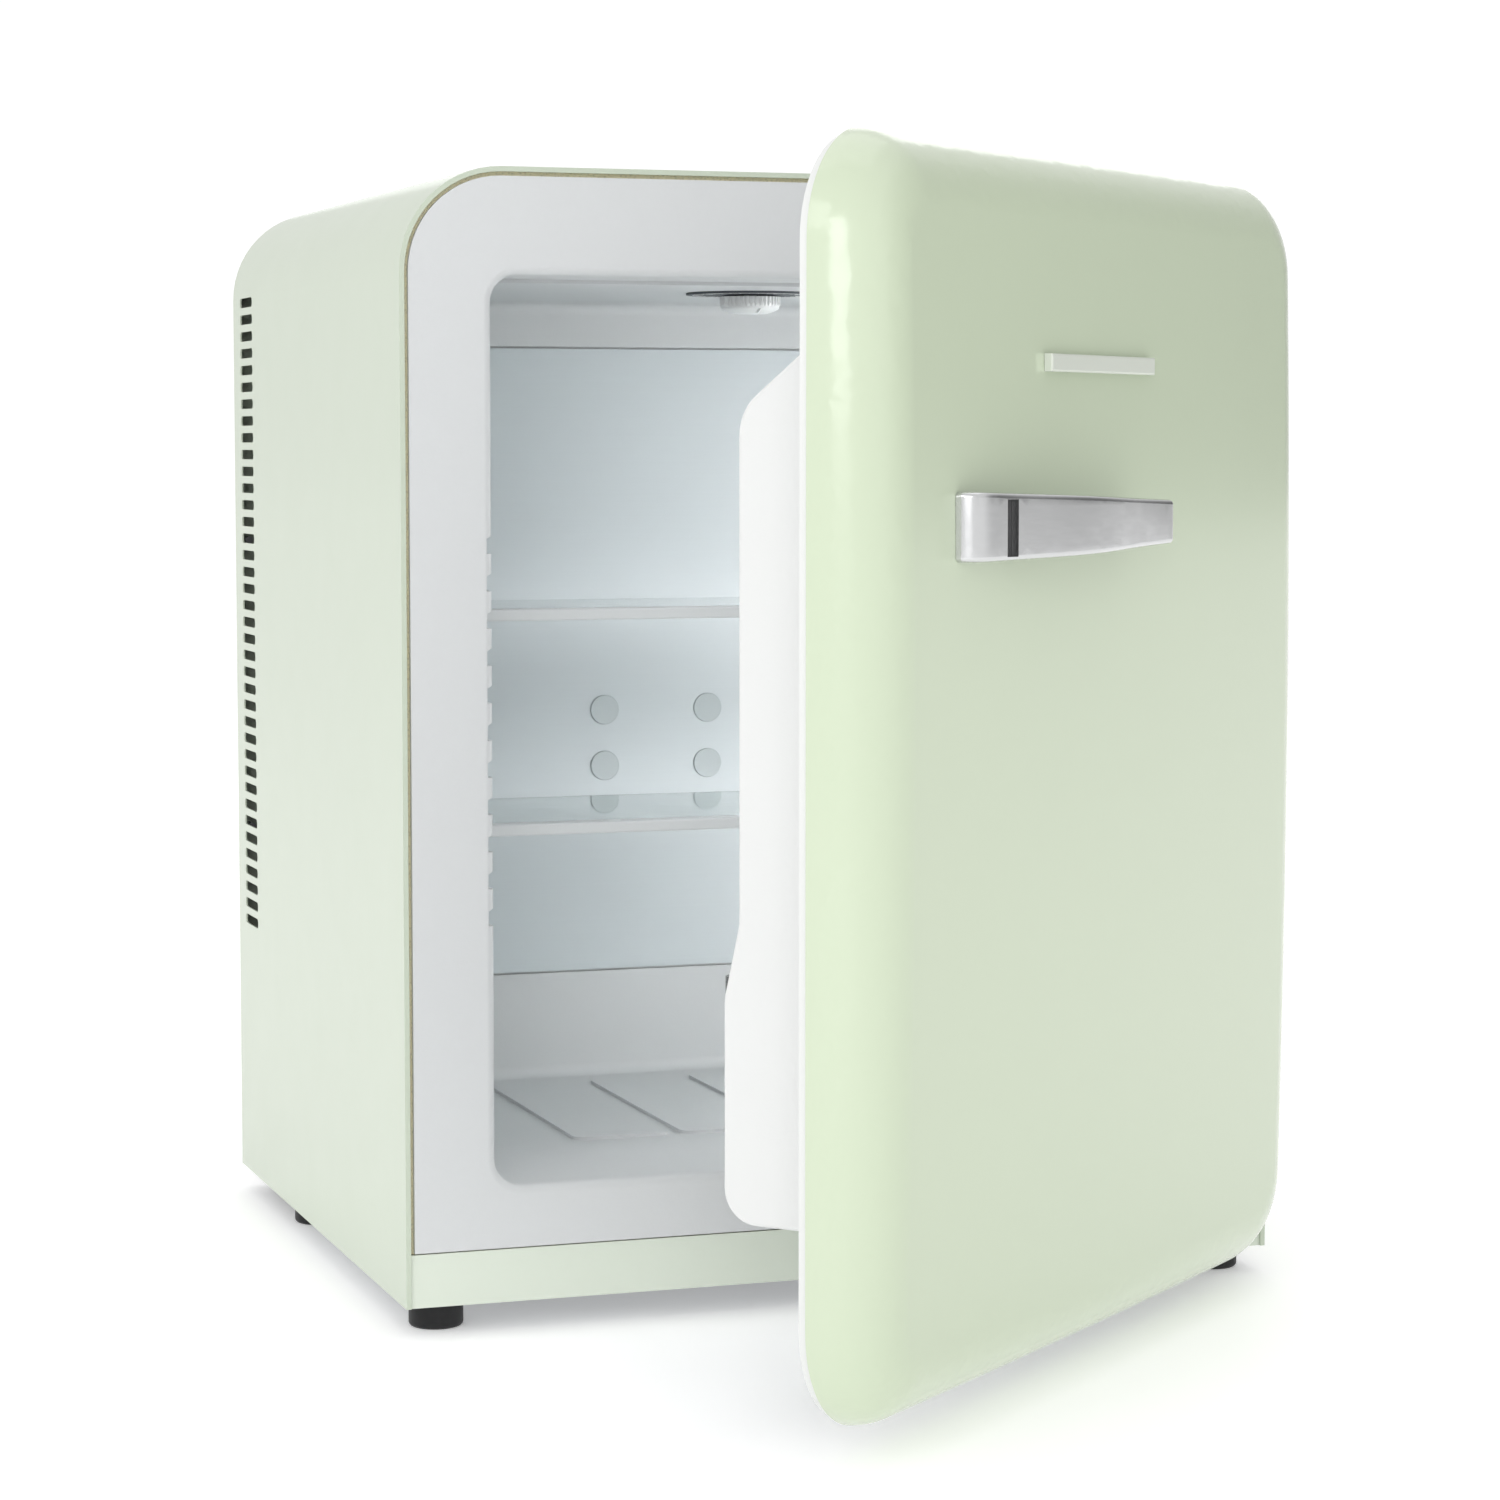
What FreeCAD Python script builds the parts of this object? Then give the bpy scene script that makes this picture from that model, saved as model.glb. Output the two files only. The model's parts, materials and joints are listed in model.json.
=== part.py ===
import FreeCAD, Part
import math
import os

# A small thermoelectric refrigerator: one hinged door, a lined cavity with two glass shelves,
# and a fan-cooled heat sink at the rear.
# Units are millimetres. Z points up, the door faces -Y, and the hinge is on the +X side.
# The origin is on the floor, under the middle of the cabinet shell.
# Door pieces are drawn shut and then swung to the angle at which the part rests.

os.makedirs("parts", exist_ok=True)

vec = FreeCAD.Vector
unitX = vec(1, 0, 0)
unitY = vec(0, 1, 0)
unitZ = vec(0, 0, 1)

# Overall sizes
bodyWidth = 410.0
bodyHeight = 490.0
bodyDepth = 357.0
footHeight = 12.0
cornerRadius = 45.0

# General fits
packingGap = 0.2
holeClearance = 0.1
runningClearance = 0.05
beyond = 60.0

# Painted steel wrap
sheet = 0.8
frontHem = 2.2
rearHem = 9.0
ventCount = 38
ventPitch = 8.45
ventHeight = 4.8
ventLength = 30.0
ventTopMargin = 47.0
ventRearMargin = 17.0
ventEndShare = 0.45
rearHemInset = 0.4
coverScrewInset = 5.0
coverScrewShares = [0.06, 0.36, 0.66, 0.88]

# Base
plinthHeight = 23.3
plinthRecess = 1.2
plinthReturn = 12.0
panThickness = 1.0
panFlange = 14.0
footRadius = 12.0
footSideInset = 18.0
footFrontInset = 20.0
footRearInset = 102.0
footRounding = 2.0
footBore = 4.5
footBoreDepth = 6.0
skidThickness = 4.0
skidLength = 80.0
skidSideInset = 8.0
skidRearInset = 7.0
skidRadius = 3.0

# White liner: front frame and tub
frameGap = 4.0
frameRecess = 0.5
frameThickness = 2.5
frameFloorGap = 0.7
linerWall = 2.0
frameSide = 40.5
frameTop = 45.8
frameBottom = 51.0
lipRadius = 3.8
cavityRadius = 12.0
rearSpace = 84.0
ceilingStepDepth = 42.0
ceilingStep = 1.6
coveRadius = 6.0

# Shelf grooves in the tub's sides
grooveDepth = 2.8
grooveHeight = 6.5
grooveChamfer = 1.4
grooveSteps = 24.5
grooveCount = 11
lowestGroove = 7.3
grooveRearMargin = 8.0

# Raised fields on the cavity floor
fieldCount = 4
fieldPitch = 52.0
fieldWidth = 46.5
fieldFront = 95.0
fieldRearMargin = 23.0
fieldRise = 1.4
fieldRadius = 6.0

# Glass shelves, each resting in one pair of grooves
lowerShelfGroove = 2
upperShelfGroove = 8
shelfFront = 60.0
shelfRearMargin = 68.0
shelfTravel = 40.0
shelfSideClearance = 0.5
shelfRestGap = 0.3
glassThickness = 3.0
glassRise = 0.3
trimHeight = 5.2
trimDepth = 10.0
trimLip = 3.0
trimRadius = 1.0
glassRadius = 3.0
glassSlip = 0.05

# Cold plate on the cavity's rear wall
plateThickness = 2.4
plateRecess = 3.0
plateBottomMargin = 54.0
plateTopMargin = 22.6
plateSideGap = 1.0
plateEndGap = 1.0
capRadius = 7.5
capThickness = 1.0
capRounding = 0.5
capSpacing = 55.0
capRows = [26.2, -2.3, -26.2]

# Thermoelectric stack
stackX = -5.5
stackHeightShare = 0.408
coldBlockWidth = 76.0
coldBlockHeight = 72.0
coldBlockLength = 22.0
peltierSize = 40.0
peltierThickness = 3.8
sheetWindow = 60.0
rearSheet = 1.8
sinkWidth = 150.0
sinkHeight = 160.0
sinkBase = 5.0
finHeight = 19.0
finThickness = 1.5
finPitch = 7.0
finCount = 21
clampX = 31.5
clampZ = 28.0
clampLength = 18.0
finRoot = 0.5

# Fan
fanSize = 120.0
fanDepth = 25.0
fanBore = 57.0
fanToSink = 0.6
fanScrewSpacing = 105.0
hubRadius = 20.0
hubLength = 17.0
bladeCount = 7
bladeThickness = 1.6
bladeTipGap = 1.5
strutThickness = 2.0
strutWidth = 5.0
axleRadius = 1.5
axleBoss = 4.0
sleeveLength = 3.0
fanCornerRadius = 5.0
fanScrewReach = 8.0
rotorGap = 2.0
rotorRounding = 2.0
bladeHalfSpan = 9.0
bladeOverlap = 4.0
axleEndGap = 1.0

# Rear cover and electrics
coverThickness = 1.5
grilleSlots = 13
grillePitch = 8.0
grilleSlotHeight = 4.0
grilleEndShare = 0.45
supplySize = [92.0, 34.0, 58.0]
supplySideInset = 40.0
supplyBase = 26.0
boardSize = [84.0, 1.6, 60.0]
boardStandOff = 5.0
boardPillar = 2.5
boardHoleInset = 4.0
boardRise = 10.0
supplyRise = 4.0
supplyRadius = 3.0
supplySlotCount = 7
supplySlotPitch = 10.0
supplySlotWidth = 4.0
supplySlotSink = 1.2
supplySlotMargin = 12.0
inletWidth = 27.0
inletHeight = 20.0
inletFlange = 4.0
inletDepth = 16.0
inletSideInset = 60.0
inletBase = 110.0
inletLowRadius = 1.5
inletHighRadius = 5.0
inletWall = 2.0
inletRimThickness = 1.5
inletBladeSpots = [(-7.0, -2.0), (0.0, 2.5), (7.0, -2.0)]
inletBladeHalfWidth = 1.0
inletBladeHalfHeight = 2.0

# Thermostat on the cavity ceiling
dialX = -8.0
dialDepth = 118.0
dialRadius = 30.0
dialThickness = 1.0
knobRadius = 14.25
knobHeight = 7.8
knobGap = 0.8
knobTeeth = 40
toothRadius = 0.7
shaftRadius = 3.0
potSize = 34.0
potHeight = 14.0
shaftReach = 9.0
shaftEndGap = 1.0
shaftHoleGap = 0.5
potRadius = 2.0
domeSteps = [(9.0, 0.3), (12.4, 1.6), (13.6, 3.2)]
knobRimRise = 4.4
pointerWidth = 1.6
pointerLength = 6.5
pointerSink = 2.2

# Door
doorThickness = 28.0
doorRearGap = 6.0
doorFlange = 4.0
doorCornerRadius = 44.0
doorRounding = 31.0
doorRoundingRoom = 8.0
doorCrown = 3.5
doorCrownRadius = 9000.0
doorWall = 2.0
flangeInset = 2.2
doorRestAngle = 40.6

# Ribs and tray moulded in the door liner
dykeSideGap = 9.5
dykeWidth = 15.0
dykeDepth = 48.6
dykeDepthLow = 55.3
dykeTopMargin = 58.0
dykeShoulderMargin = 105.0
dykeStepTop = 187.0
dykeStepBottom = 157.6
dykeCornerRadius = 14.0
dykeShoulderRadius = 20.0
dykeStepRadius = 18.0
dykeBase = 69.5
dykeEdgeRadius = 1.8
dykeSlant = 0.7
dykeStepSlant = 0.21
dykeFootSlant = 3.0
trayDepth = 8.0
trayBase = 66.0
trayTopMargin = 52.0
trayRadius = 12.0

# Door seal
sealSideInset = 26.0
sealBottom = 37.0
sealTopMargin = 31.5
sealWidth = 9.0
sealRadius = 20.0
sealFaceGap = 0.3
bellowsStart = 2.2
bellowsWidth = 1.2
bellowsSink = 1.5

# Hinges
hingeSideInset = 15.0
hingeForward = 25.0
armEndMargin = 55.0
armThickness = 3.0
armHalfWidth = 5.0
slotClearance = 1.0
slotHalfWidth = 5.8
slotSweep = 20.0
slotSteps = 11
pinRadius = 2.5
pinLength = 30.0
pinChamfer = 0.5
blockRadius = 6.0
blockHeight = 40.0
hingePlateReach = 4.5
hingePlateRadius = 2.0
hingePlateWidth = 19.0
hingePlateHeight = 46.0
hingePlateOverArm = 9.0
hingeScrewSpacing = 28.0
backingThickness = 2.0
backingMargin = 2.0

# Clear racks on the door
rackWall = 2.0
rackSideGap = 0.3
upperRackDrop = 9.0
upperRackHeight = 45.0
upperRackFront = 46.0
lowerRackBase = 76.0
lowerRackHeight = 88.0
lowerRackFront = 65.0
upperRackSideShare = 0.72
lowerRackSideShare = 0.6
rackReach = 4.0
rackRadius = 4.0
rackBackGap = 0.6
rackDipStart = 14.0
rackDipEnd = 6.0

# Handle
handleLeft = 60.3
handleHeight = 353.2
handleTall = 27.0
handleTip = 17.2
handleRootRadius = 3.0
handleTipRadius = 5.0
leverRootWidth = 37.0
leverLength = 143.5
leverBack = 20.5
leverFront = 29.0
leverEdge = 2.0
leverTipRound = 4.0
leverTipSink = 1.6
leverBend = 12.0
leverBendDepth = 10.0
leverSections = [(0.5, 4.0), (4.0, 10.0), (16.0, 15.0), (37.0, 22.5), (62.0, 29.0), (100.0, 28.6)]
insertLeft = 17.0
insertWidth = 5.6
insertFloor = 11.5
insertProud = 2.6
insertTopMargin = 3.2
insertLowMargin = 2.2
insertSideGap = 0.1
handleScrewSpacing = 13.0
handleScrewGap = 0.6
handleHeadRoom = 3.0

# Trim bar on the door's face
barX = -22.0
barLength = 96.0
barHeight = 7.0
barThickness = 2.0
barMargin = 86.0
barRounding = 0.8
barSeat = 0.1

# Screws
screwRadius = 1.9
screwHeadRadius = 3.4
screwHeadHeight = 1.8
sunkHeadRadius = 3.7
sunkHeadHeight = 1.7
screwLength = 10.0
screwHeadRounding = 0.7
headRoom = 0.3
crossArm = 1.8
crossWidth = 0.8
crossDepth = 1.0

# Positions that follow from the sizes
front = -bodyDepth / 2
rear = bodyDepth / 2
halfWidth = bodyWidth / 2
bottom = footHeight
top = footHeight + bodyHeight
shellInner = halfWidth - sheet
plinthTop = bottom + plinthHeight
panTop = bottom + panThickness
frameFace = front + frameRecess
frameBack = frameFace + frameThickness
frameLow = plinthTop + frameFloorGap
cavityHalf = halfWidth - frameSide
cavityFloor = bottom + frameBottom
cavityCeiling = top - frameTop
rearCeiling = cavityCeiling - ceilingStep
cavityHeight = cavityCeiling - cavityFloor
cavityBack = front + bodyDepth - rearSpace
plateBack = cavityBack + plateRecess
plateFront = plateBack - plateThickness
plateLow = cavityFloor + plateBottomMargin
plateHigh = rearCeiling - plateTopMargin
groovePitch = cavityHeight / grooveSteps
stackZ = cavityFloor + stackHeightShare * cavityHeight
coldBlockEnd = plateBack + coldBlockLength
foamBack = coldBlockEnd + peltierThickness - rearSheet
sheetBack = foamBack + rearSheet
finEnd = sheetBack + sinkBase + finHeight
fanFront = finEnd + fanToSink
fanBack = fanFront + fanDepth
coverFront = rear - coverThickness
dialY = front + dialDepth
potBase = cavityCeiling + linerWall
hingeX = halfWidth - hingeSideInset
hingeY = front - hingeForward
upperArm = top - armEndMargin
lowerArm = bottom + armEndMargin
doorBack = front - doorRearGap
doorSkinBack = doorBack - doorFlange
doorFace = doorSkinBack - doorThickness
doorMiddle = (bottom + top) / 2
dykeOuter = cavityHalf - dykeSideGap
dykeInner = dykeOuter - dykeWidth


def box(x0, x1, y0, y1, z0, z1):
    return Part.makeBox(x1 - x0, y1 - y0, z1 - z0, vec(x0, y0, z0))


def rod(radius, start, direction, length):
    return Part.makeCylinder(radius, length, start, direction)


def joined(shapes):
    whole = shapes[0].multiFuse(shapes[1:])
    return whole.removeSplitter()


def edgesAlong(solid, direction):
    found = []
    for edge in solid.Edges:
        span = edge.Vertexes[-1].Point - edge.Vertexes[0].Point
        if span.Length > 0.001 and span.cross(direction).Length < 0.001:
            found.append(edge)
    return found


def prismY(x0, x1, z0, z1, y0, y1, lowRadius, highRadius):
    """A block along Y with its own radius for the two low and for the two high corners."""
    solid = box(x0, x1, y0, y1, z0, z1)
    for radius, level in ((lowRadius, z0), (highRadius, z1)):
        if radius > 0:
            corners = [e for e in edgesAlong(solid, unitY) if abs(e.CenterOfMass.z - level) < 0.001]
            solid = solid.makeFillet(radius, corners)
    return solid


def prismZ(x0, x1, y0, y1, z0, z1, radius):
    solid = box(x0, x1, y0, y1, z0, z1)
    return solid.makeFillet(radius, edgesAlong(solid, unitZ))


def archPrism(inset, y0, y1, z0):
    """The cabinet's arched outline, set in by a distance, standing on the height z0."""
    return prismY(-halfWidth + inset, halfWidth - inset, z0, top - inset, y0, y1, 0, cornerRadius - inset)


def polygonPrism(points, direction):
    return Part.Face(Part.makePolygon(points + [points[0]])).extrude(direction)


def cross(face, direction):
    """Two crossed slots sunk into a screw head along direction from the middle of its face."""
    side = unitX if abs(direction.x) < 0.5 else unitZ
    across = direction.cross(side)
    slots = []
    for long, short in ((side, across), (across, side)):
        a = long * crossArm
        b = short * (crossWidth / 2)
        slots.append(polygonPrism([face - a - b, face + a - b, face + a + b, face - a + b], direction * crossDepth))
    return slots[0].fuse(slots[1])


def panScrew(seat, direction, length):
    """A screw driven along direction, with the underside of its head at seat."""
    head = rod(screwHeadRadius, seat, direction * -1, screwHeadHeight)
    rim = [e for e in head.Edges if e.Closed and abs((e.CenterOfMass - seat).dot(direction)) > 0.5]
    head = head.makeFillet(screwHeadRounding, rim)
    face = seat - direction * screwHeadHeight
    return head.fuse(rod(screwRadius, seat, direction, length)).cut(cross(face, direction))


def sunkScrew(face, direction, length):
    """A countersunk screw driven along direction, with its flat top at face."""
    head = Part.makeCone(sunkHeadRadius, screwRadius, sunkHeadHeight, face, direction)
    shank = rod(screwRadius, face + direction * sunkHeadHeight, direction, length)
    return head.fuse(shank).cut(cross(face, direction))


def panHole(seat, direction, length):
    return rod(screwRadius + holeClearance, seat, direction, length + holeClearance)


def sunkHole(face, direction, length):
    start = face - direction * 0.01
    wide = sunkHeadRadius + holeClearance + 0.01
    narrow = screwRadius + holeClearance
    cone = Part.makeCone(wide, narrow, sunkHeadHeight + 0.01, start, direction)
    return cone.fuse(rod(narrow, face + direction * sunkHeadHeight, direction, length + holeClearance))


def export(shapes, name):
    solid = shapes if isinstance(shapes, Part.Shape) else Part.makeCompound(shapes)
    solid.exportStep("parts/" + name + ".step")


def grooveLevel(index):
    """Height of a groove's middle, counted up from the lowest."""
    return cavityFloor + (lowestGroove + index) * groovePitch


def swung(shape):
    """A door piece turned from shut to the angle at which the part rests."""
    turned = shape.copy()
    turned.rotate(vec(hingeX, hingeY, 0), unitZ, doorRestAngle)
    return turned


# Steel wrap: one sheet over the sides and the top, with a hem at each end and slots by the heat sink
wrap = archPrism(0, front, rear, bottom).cut(archPrism(sheet, front - 1, rear + 1, bottom - 1))
frontRim = archPrism(0, front, front + sheet, bottom).cut(archPrism(frontHem, front - 1, front + 2, bottom - 1))
rimBack = coverFront - sheet
rearRim = archPrism(rearHemInset, rimBack, coverFront, bottom).cut(archPrism(rearHem, rimBack - 1, rear, bottom - 1))
wrap = joined([wrap, frontRim, rearRim])
vents = []
for i in range(ventCount):
    level = top - ventTopMargin - i * ventPitch
    slot = box(-halfWidth - 1, halfWidth + 1, rear - ventRearMargin - ventLength, rear - ventRearMargin,
               level - ventHeight / 2, level + ventHeight / 2)
    vents.append(slot.makeFillet(ventEndShare * ventHeight, edgesAlong(slot, unitX)))
coverScrewSeats = []
for side in (-1, 1):
    for share in coverScrewShares:
        coverScrewSeats.append(vec(side * (halfWidth - coverScrewInset), rear, bottom + share * bodyHeight))
coverHoles = [panHole(seat, unitY * -1, screwLength) for seat in coverScrewSeats]
outerShell = wrap.cut(Part.makeCompound(vents)).cut(Part.makeCompound(coverHoles))
export(outerShell, "outer_shell")

# Base: front plinth, pan with upturned sides, rear skid plate and four feet
plinthHalf = shellInner - packingGap
plinthFront = front + plinthRecess
plinthFace = box(-plinthHalf, plinthHalf, plinthFront, plinthFront + sheet, bottom, plinthTop)
plinthShelf = box(-plinthHalf, plinthHalf, plinthFront, plinthFront + plinthReturn, plinthTop - sheet, plinthTop)
frontPlinth = joined([plinthFace, plinthShelf])
export(frontPlinth, "front_plinth")

panHalf = shellInner - packingGap
panFront = plinthFront + sheet + packingGap
panBack = rimBack - packingGap
basePan = box(-panHalf, panHalf, panFront, panBack, bottom, panTop)
for side in (-1, 1):
    edge = side * (panHalf - panThickness / 2)
    flange = box(edge - panThickness / 2, edge + panThickness / 2, panFront, panBack, bottom, bottom + panFlange)
    basePan = basePan.fuse(flange)
footCentres = []
for side in (-1, 1):
    for along in (front + footFrontInset, rear - footRearInset):
        footCentres.append(vec(side * (halfWidth - footSideInset), along, 0))
footScrewSeats = [centre + unitZ * footBoreDepth for centre in footCentres]
footHoles = Part.makeCompound([panHole(seat, unitZ, screwLength) for seat in footScrewSeats])
basePan = basePan.removeSplitter().cut(footHoles)
export(basePan, "base_pan")

skidBack = rear - skidRearInset
skid = prismZ(-halfWidth + skidSideInset, halfWidth - skidSideInset, skidBack - skidLength, skidBack,
              bottom - skidThickness, bottom, skidRadius)
export(skid, "rear_base_plate")

footNames = ["foot_front_left", "foot_rear_left", "foot_front_right", "foot_rear_right"]
for centre, name in zip(footCentres, footNames):
    foot = rod(footRadius, centre, unitZ, footHeight)
    low = [e for e in foot.Edges if e.Closed and e.CenterOfMass.z < 0.5]
    foot = foot.makeFillet(footRounding, low)
    foot = foot.cut(rod(footBore, centre - unitZ, unitZ, footBoreDepth + 1)).cut(footHoles)
    export(foot, name)
export([panScrew(seat, unitZ, screwLength) for seat in footScrewSeats], "foot_screws")

# White liner: a frame around the opening and the tub behind it, formed as one piece
frame = archPrism(frameGap, frameFace, frameBack, frameLow)
tubHalf = cavityHalf + linerWall
tubLow = cavityFloor - linerWall
tubHigh = cavityCeiling + linerWall
tubBack = plateBack + linerWall
tub = prismY(-tubHalf, tubHalf, tubLow, tubHigh, frameFace, tubBack, cavityRadius + linerWall, cavityRadius + linerWall)
firstSpace = prismY(-cavityHalf, cavityHalf, cavityFloor, cavityCeiling, frameFace - 1, front + ceilingStepDepth,
                    cavityRadius, cavityRadius)
mainSpace = prismY(-cavityHalf, cavityHalf, cavityFloor, rearCeiling, frameFace - 1, cavityBack,
                   cavityRadius, cavityRadius)
rearEdges = [e for e in mainSpace.Edges if abs(e.CenterOfMass.y - cavityBack) < 0.001
             and abs(e.Vertexes[0].Point.y - cavityBack) < 0.001]
mainSpace = mainSpace.makeFillet(coveRadius, rearEdges)
bulges = []
grooves = []
grooveRear = cavityBack - grooveRearMargin
grooveReach = cavityHalf + grooveDepth
for i in range(grooveCount):
    level = grooveLevel(i)
    low = level - grooveHeight / 2
    high = level + grooveHeight / 2
    for side in (-1, 1):
        deep = side * grooveReach
        back = side * (grooveReach + linerWall)
        near = side * (cavityHalf - 1)
        wall = side * cavityHalf
        bulges.append(box(min(near, back), max(near, back), frameBack - 1, grooveRear + linerWall,
                          low - linerWall, high + linerWall))
        outline = [vec(near, front, low), vec(deep, front, low), vec(deep, front, high),
                   vec(wall, front, high + grooveChamfer), vec(near, front, high + grooveChamfer)]
        grooves.append(polygonPrism(outline, unitY * (grooveRear - front)))
liner = joined([frame, tub] + bulges)
liner = liner.cut(joined([firstSpace, mainSpace]))
lip = []
for edge in liner.Edges:
    middle = edge.CenterOfMass
    if abs(middle.y - frameFace) < 0.001 and all(abs(v.Point.y - frameFace) < 0.001 for v in edge.Vertexes):
        if abs(middle.x) < cavityHalf + 0.01 and cavityFloor - 0.01 < middle.z < cavityCeiling + 0.01:
            lip.append(edge)
liner = liner.makeFillet(lipRadius, lip)
liner = liner.cut(Part.makeCompound(grooves))
plateSeat = box(-cavityHalf, cavityHalf, cavityBack - coveRadius, plateBack, plateLow - plateEndGap, plateHigh + plateEndGap)
blockHalf = coldBlockWidth / 2
blockLow = stackZ - coldBlockHeight / 2
blockHigh = stackZ + coldBlockHeight / 2
blockWindow = box(stackX - blockHalf - packingGap, stackX + blockHalf + packingGap, cavityBack, foamBack + 0.1,
                  blockLow - packingGap, blockHigh + packingGap)
liner = liner.cut(plateSeat).cut(blockWindow)
fields = []
for i in range(fieldCount):
    left = (i - (fieldCount - 1) / 2) * fieldPitch - fieldWidth / 2
    fields.append(prismZ(left, left + fieldWidth, front + fieldFront, cavityBack - fieldRearMargin,
                         cavityFloor - 0.5, cavityFloor + fieldRise, fieldRadius))
liner = liner.fuse(fields)

# Openings in the liner for the hinge plates, the thermostat's shaft and the hinge screws
plateLeft = hingeX - armHalfWidth - hingePlateReach
plateRight = plateLeft + hingePlateWidth
hingeSpans = []
for arm, turn in ((upperArm, 1), (lowerArm, -1)):
    outerEnd = arm + turn * hingePlateOverArm
    innerEnd = outerEnd - turn * hingePlateHeight
    hingeSpans.append((min(outerEnd, innerEnd), max(outerEnd, innerEnd)))
hingeScrewFaces = []
for low, high in hingeSpans:
    middle = (low + high) / 2
    for turn in (-1, 1):
        hingeScrewFaces.append(vec((plateLeft + plateRight) / 2, frameFace, middle + turn * hingeScrewSpacing / 2))
pockets = [box(plateLeft - packingGap, plateRight + packingGap, frameFace - 1, frameBack + 0.1,
               low - packingGap, high + packingGap) for low, high in hingeSpans]
shaftHole = rod(shaftRadius + shaftHoleGap, vec(dialX, dialY, rearCeiling - dialThickness - 1), unitZ,
                potBase + 1 - rearCeiling + dialThickness)
liner = liner.cut(Part.makeCompound(pockets)).cut(shaftHole)
export(liner.removeSplitter(), "inner_liner")

# Hinge brackets, their backing plates and pins
hingeHoles = [sunkHole(face, unitY, screwLength) for face in hingeScrewFaces]
for (low, high), arm, name in zip(hingeSpans, (upperArm, lowerArm), ("upper", "lower")):
    flat = prismY(plateLeft, plateRight, low, high, frameFace, frameBack, hingePlateRadius, hingePlateRadius)
    reach = box(hingeX - armHalfWidth, hingeX + armHalfWidth, hingeY, frameFace + 1,
                arm - armThickness / 2, arm + armThickness / 2)
    eye = rod(armHalfWidth, vec(hingeX, hingeY, arm - armThickness / 2), unitZ, armThickness)
    pinStart = vec(hingeX, hingeY, arm - pinLength / 2)
    pin = rod(pinRadius, pinStart, unitZ, pinLength)
    bracket = joined([flat, reach, eye]).cut(pin).cut(Part.makeCompound(hingeHoles))
    export(bracket, "hinge_bracket_" + name)
    ends = [e for e in pin.Edges if e.Closed]
    export(pin.makeChamfer(pinChamfer, ends), "hinge_pin_" + name)
backings = []
for low, high in hingeSpans:
    backing = box(plateLeft - backingMargin, plateRight + backingMargin, frameBack + packingGap,
                  frameBack + packingGap + backingThickness, low - backingMargin, high + backingMargin)
    backings.append(backing.cut(Part.makeCompound(hingeHoles)))
export(backings, "hinge_backing_plates")
export([sunkScrew(face, unitY, screwLength) for face in hingeScrewFaces], "hinge_screws")

# Thermostat: dial plate on the ceiling, control body in the foam and a ribbed knob on its shaft
dial = rod(dialRadius, vec(dialX, dialY, rearCeiling - dialThickness), unitZ, dialThickness).cut(shaftHole)
export(dial, "thermostat_scale_plate")
potHalf = potSize / 2
pot = prismZ(dialX - potHalf, dialX + potHalf, dialY - potHalf, dialY + potHalf, potBase, potBase + potHeight, potRadius)
pot = pot.cut(rod(shaftRadius + runningClearance, vec(dialX, dialY, potBase - 1), unitZ, shaftReach + 1))
export(pot, "thermostat_body")
knobTop = rearCeiling - dialThickness - knobGap
knobLow = knobTop - knobHeight
knobProfile = [vec(0, 0, knobLow)] + [vec(reach, 0, knobLow + rise) for reach, rise in domeSteps]
dome = Part.BSplineCurve()
dome.interpolate(Points=knobProfile, InitialTangent=unitX, FinalTangent=unitZ)
rimTop = vec(knobRadius, 0, knobTop)
rimLow = vec(knobRadius, 0, knobLow + knobRimRise)
outline = Part.Wire([
    dome.toShape(),
    Part.makeLine(knobProfile[-1], rimLow),
    Part.makeLine(rimLow, rimTop),
    Part.makeLine(rimTop, vec(0, 0, knobTop)),
    Part.makeLine(vec(0, 0, knobTop), knobProfile[0]),
])
knob = Part.Face(outline).revolve(vec(0, 0, 0), unitZ, 360)
notches = []
for i in range(knobTeeth):
    angle = 2 * math.pi * i / knobTeeth
    at = vec(knobRadius * math.cos(angle), knobRadius * math.sin(angle), knobLow)
    notches.append(rod(toothRadius, at, unitZ, knobHeight + 1))
knob = knob.cut(Part.makeCompound(notches))
pointer = box(-pointerWidth / 2, pointerWidth / 2, -knobRadius - 1, -knobRadius + pointerLength,
              knobLow - 1, knobLow + pointerSink)
knob = knob.cut(pointer)
knob.translate(vec(dialX, dialY, 0))
shaftTop = potBase + shaftReach - shaftEndGap
knob = knob.fuse(rod(shaftRadius, vec(dialX, dialY, knobTop - 1), unitZ, shaftTop - knobTop + 1)).removeSplitter()
export(knob, "thermostat_knob")

# Thermoelectric stack, from the cold plate in the cavity to the heat sink behind the foam
capCentres = []
for side in (-1, 1):
    for rise in capRows:
        capCentres.append(vec(stackX + side * capSpacing / 2, plateFront, stackZ + rise))
plateHoles = Part.makeCompound([sunkHole(centre, unitY, screwLength) for centre in capCentres])
coldPlate = box(-cavityHalf + plateSideGap, cavityHalf - plateSideGap, plateFront, plateBack, plateLow, plateHigh)
export(coldPlate.cut(plateHoles), "cold_plate")
export([sunkScrew(centre, unitY, screwLength) for centre in capCentres], "panel_screws")
caps = []
for centre in capCentres:
    cap = rod(capRadius, centre, unitY * -1, capThickness)
    rim = [e for e in cap.Edges if e.Closed and e.CenterOfMass.y < plateFront - 0.5]
    caps.append(cap.makeFillet(capRounding, rim))
export(caps, "panel_screw_caps")

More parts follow.
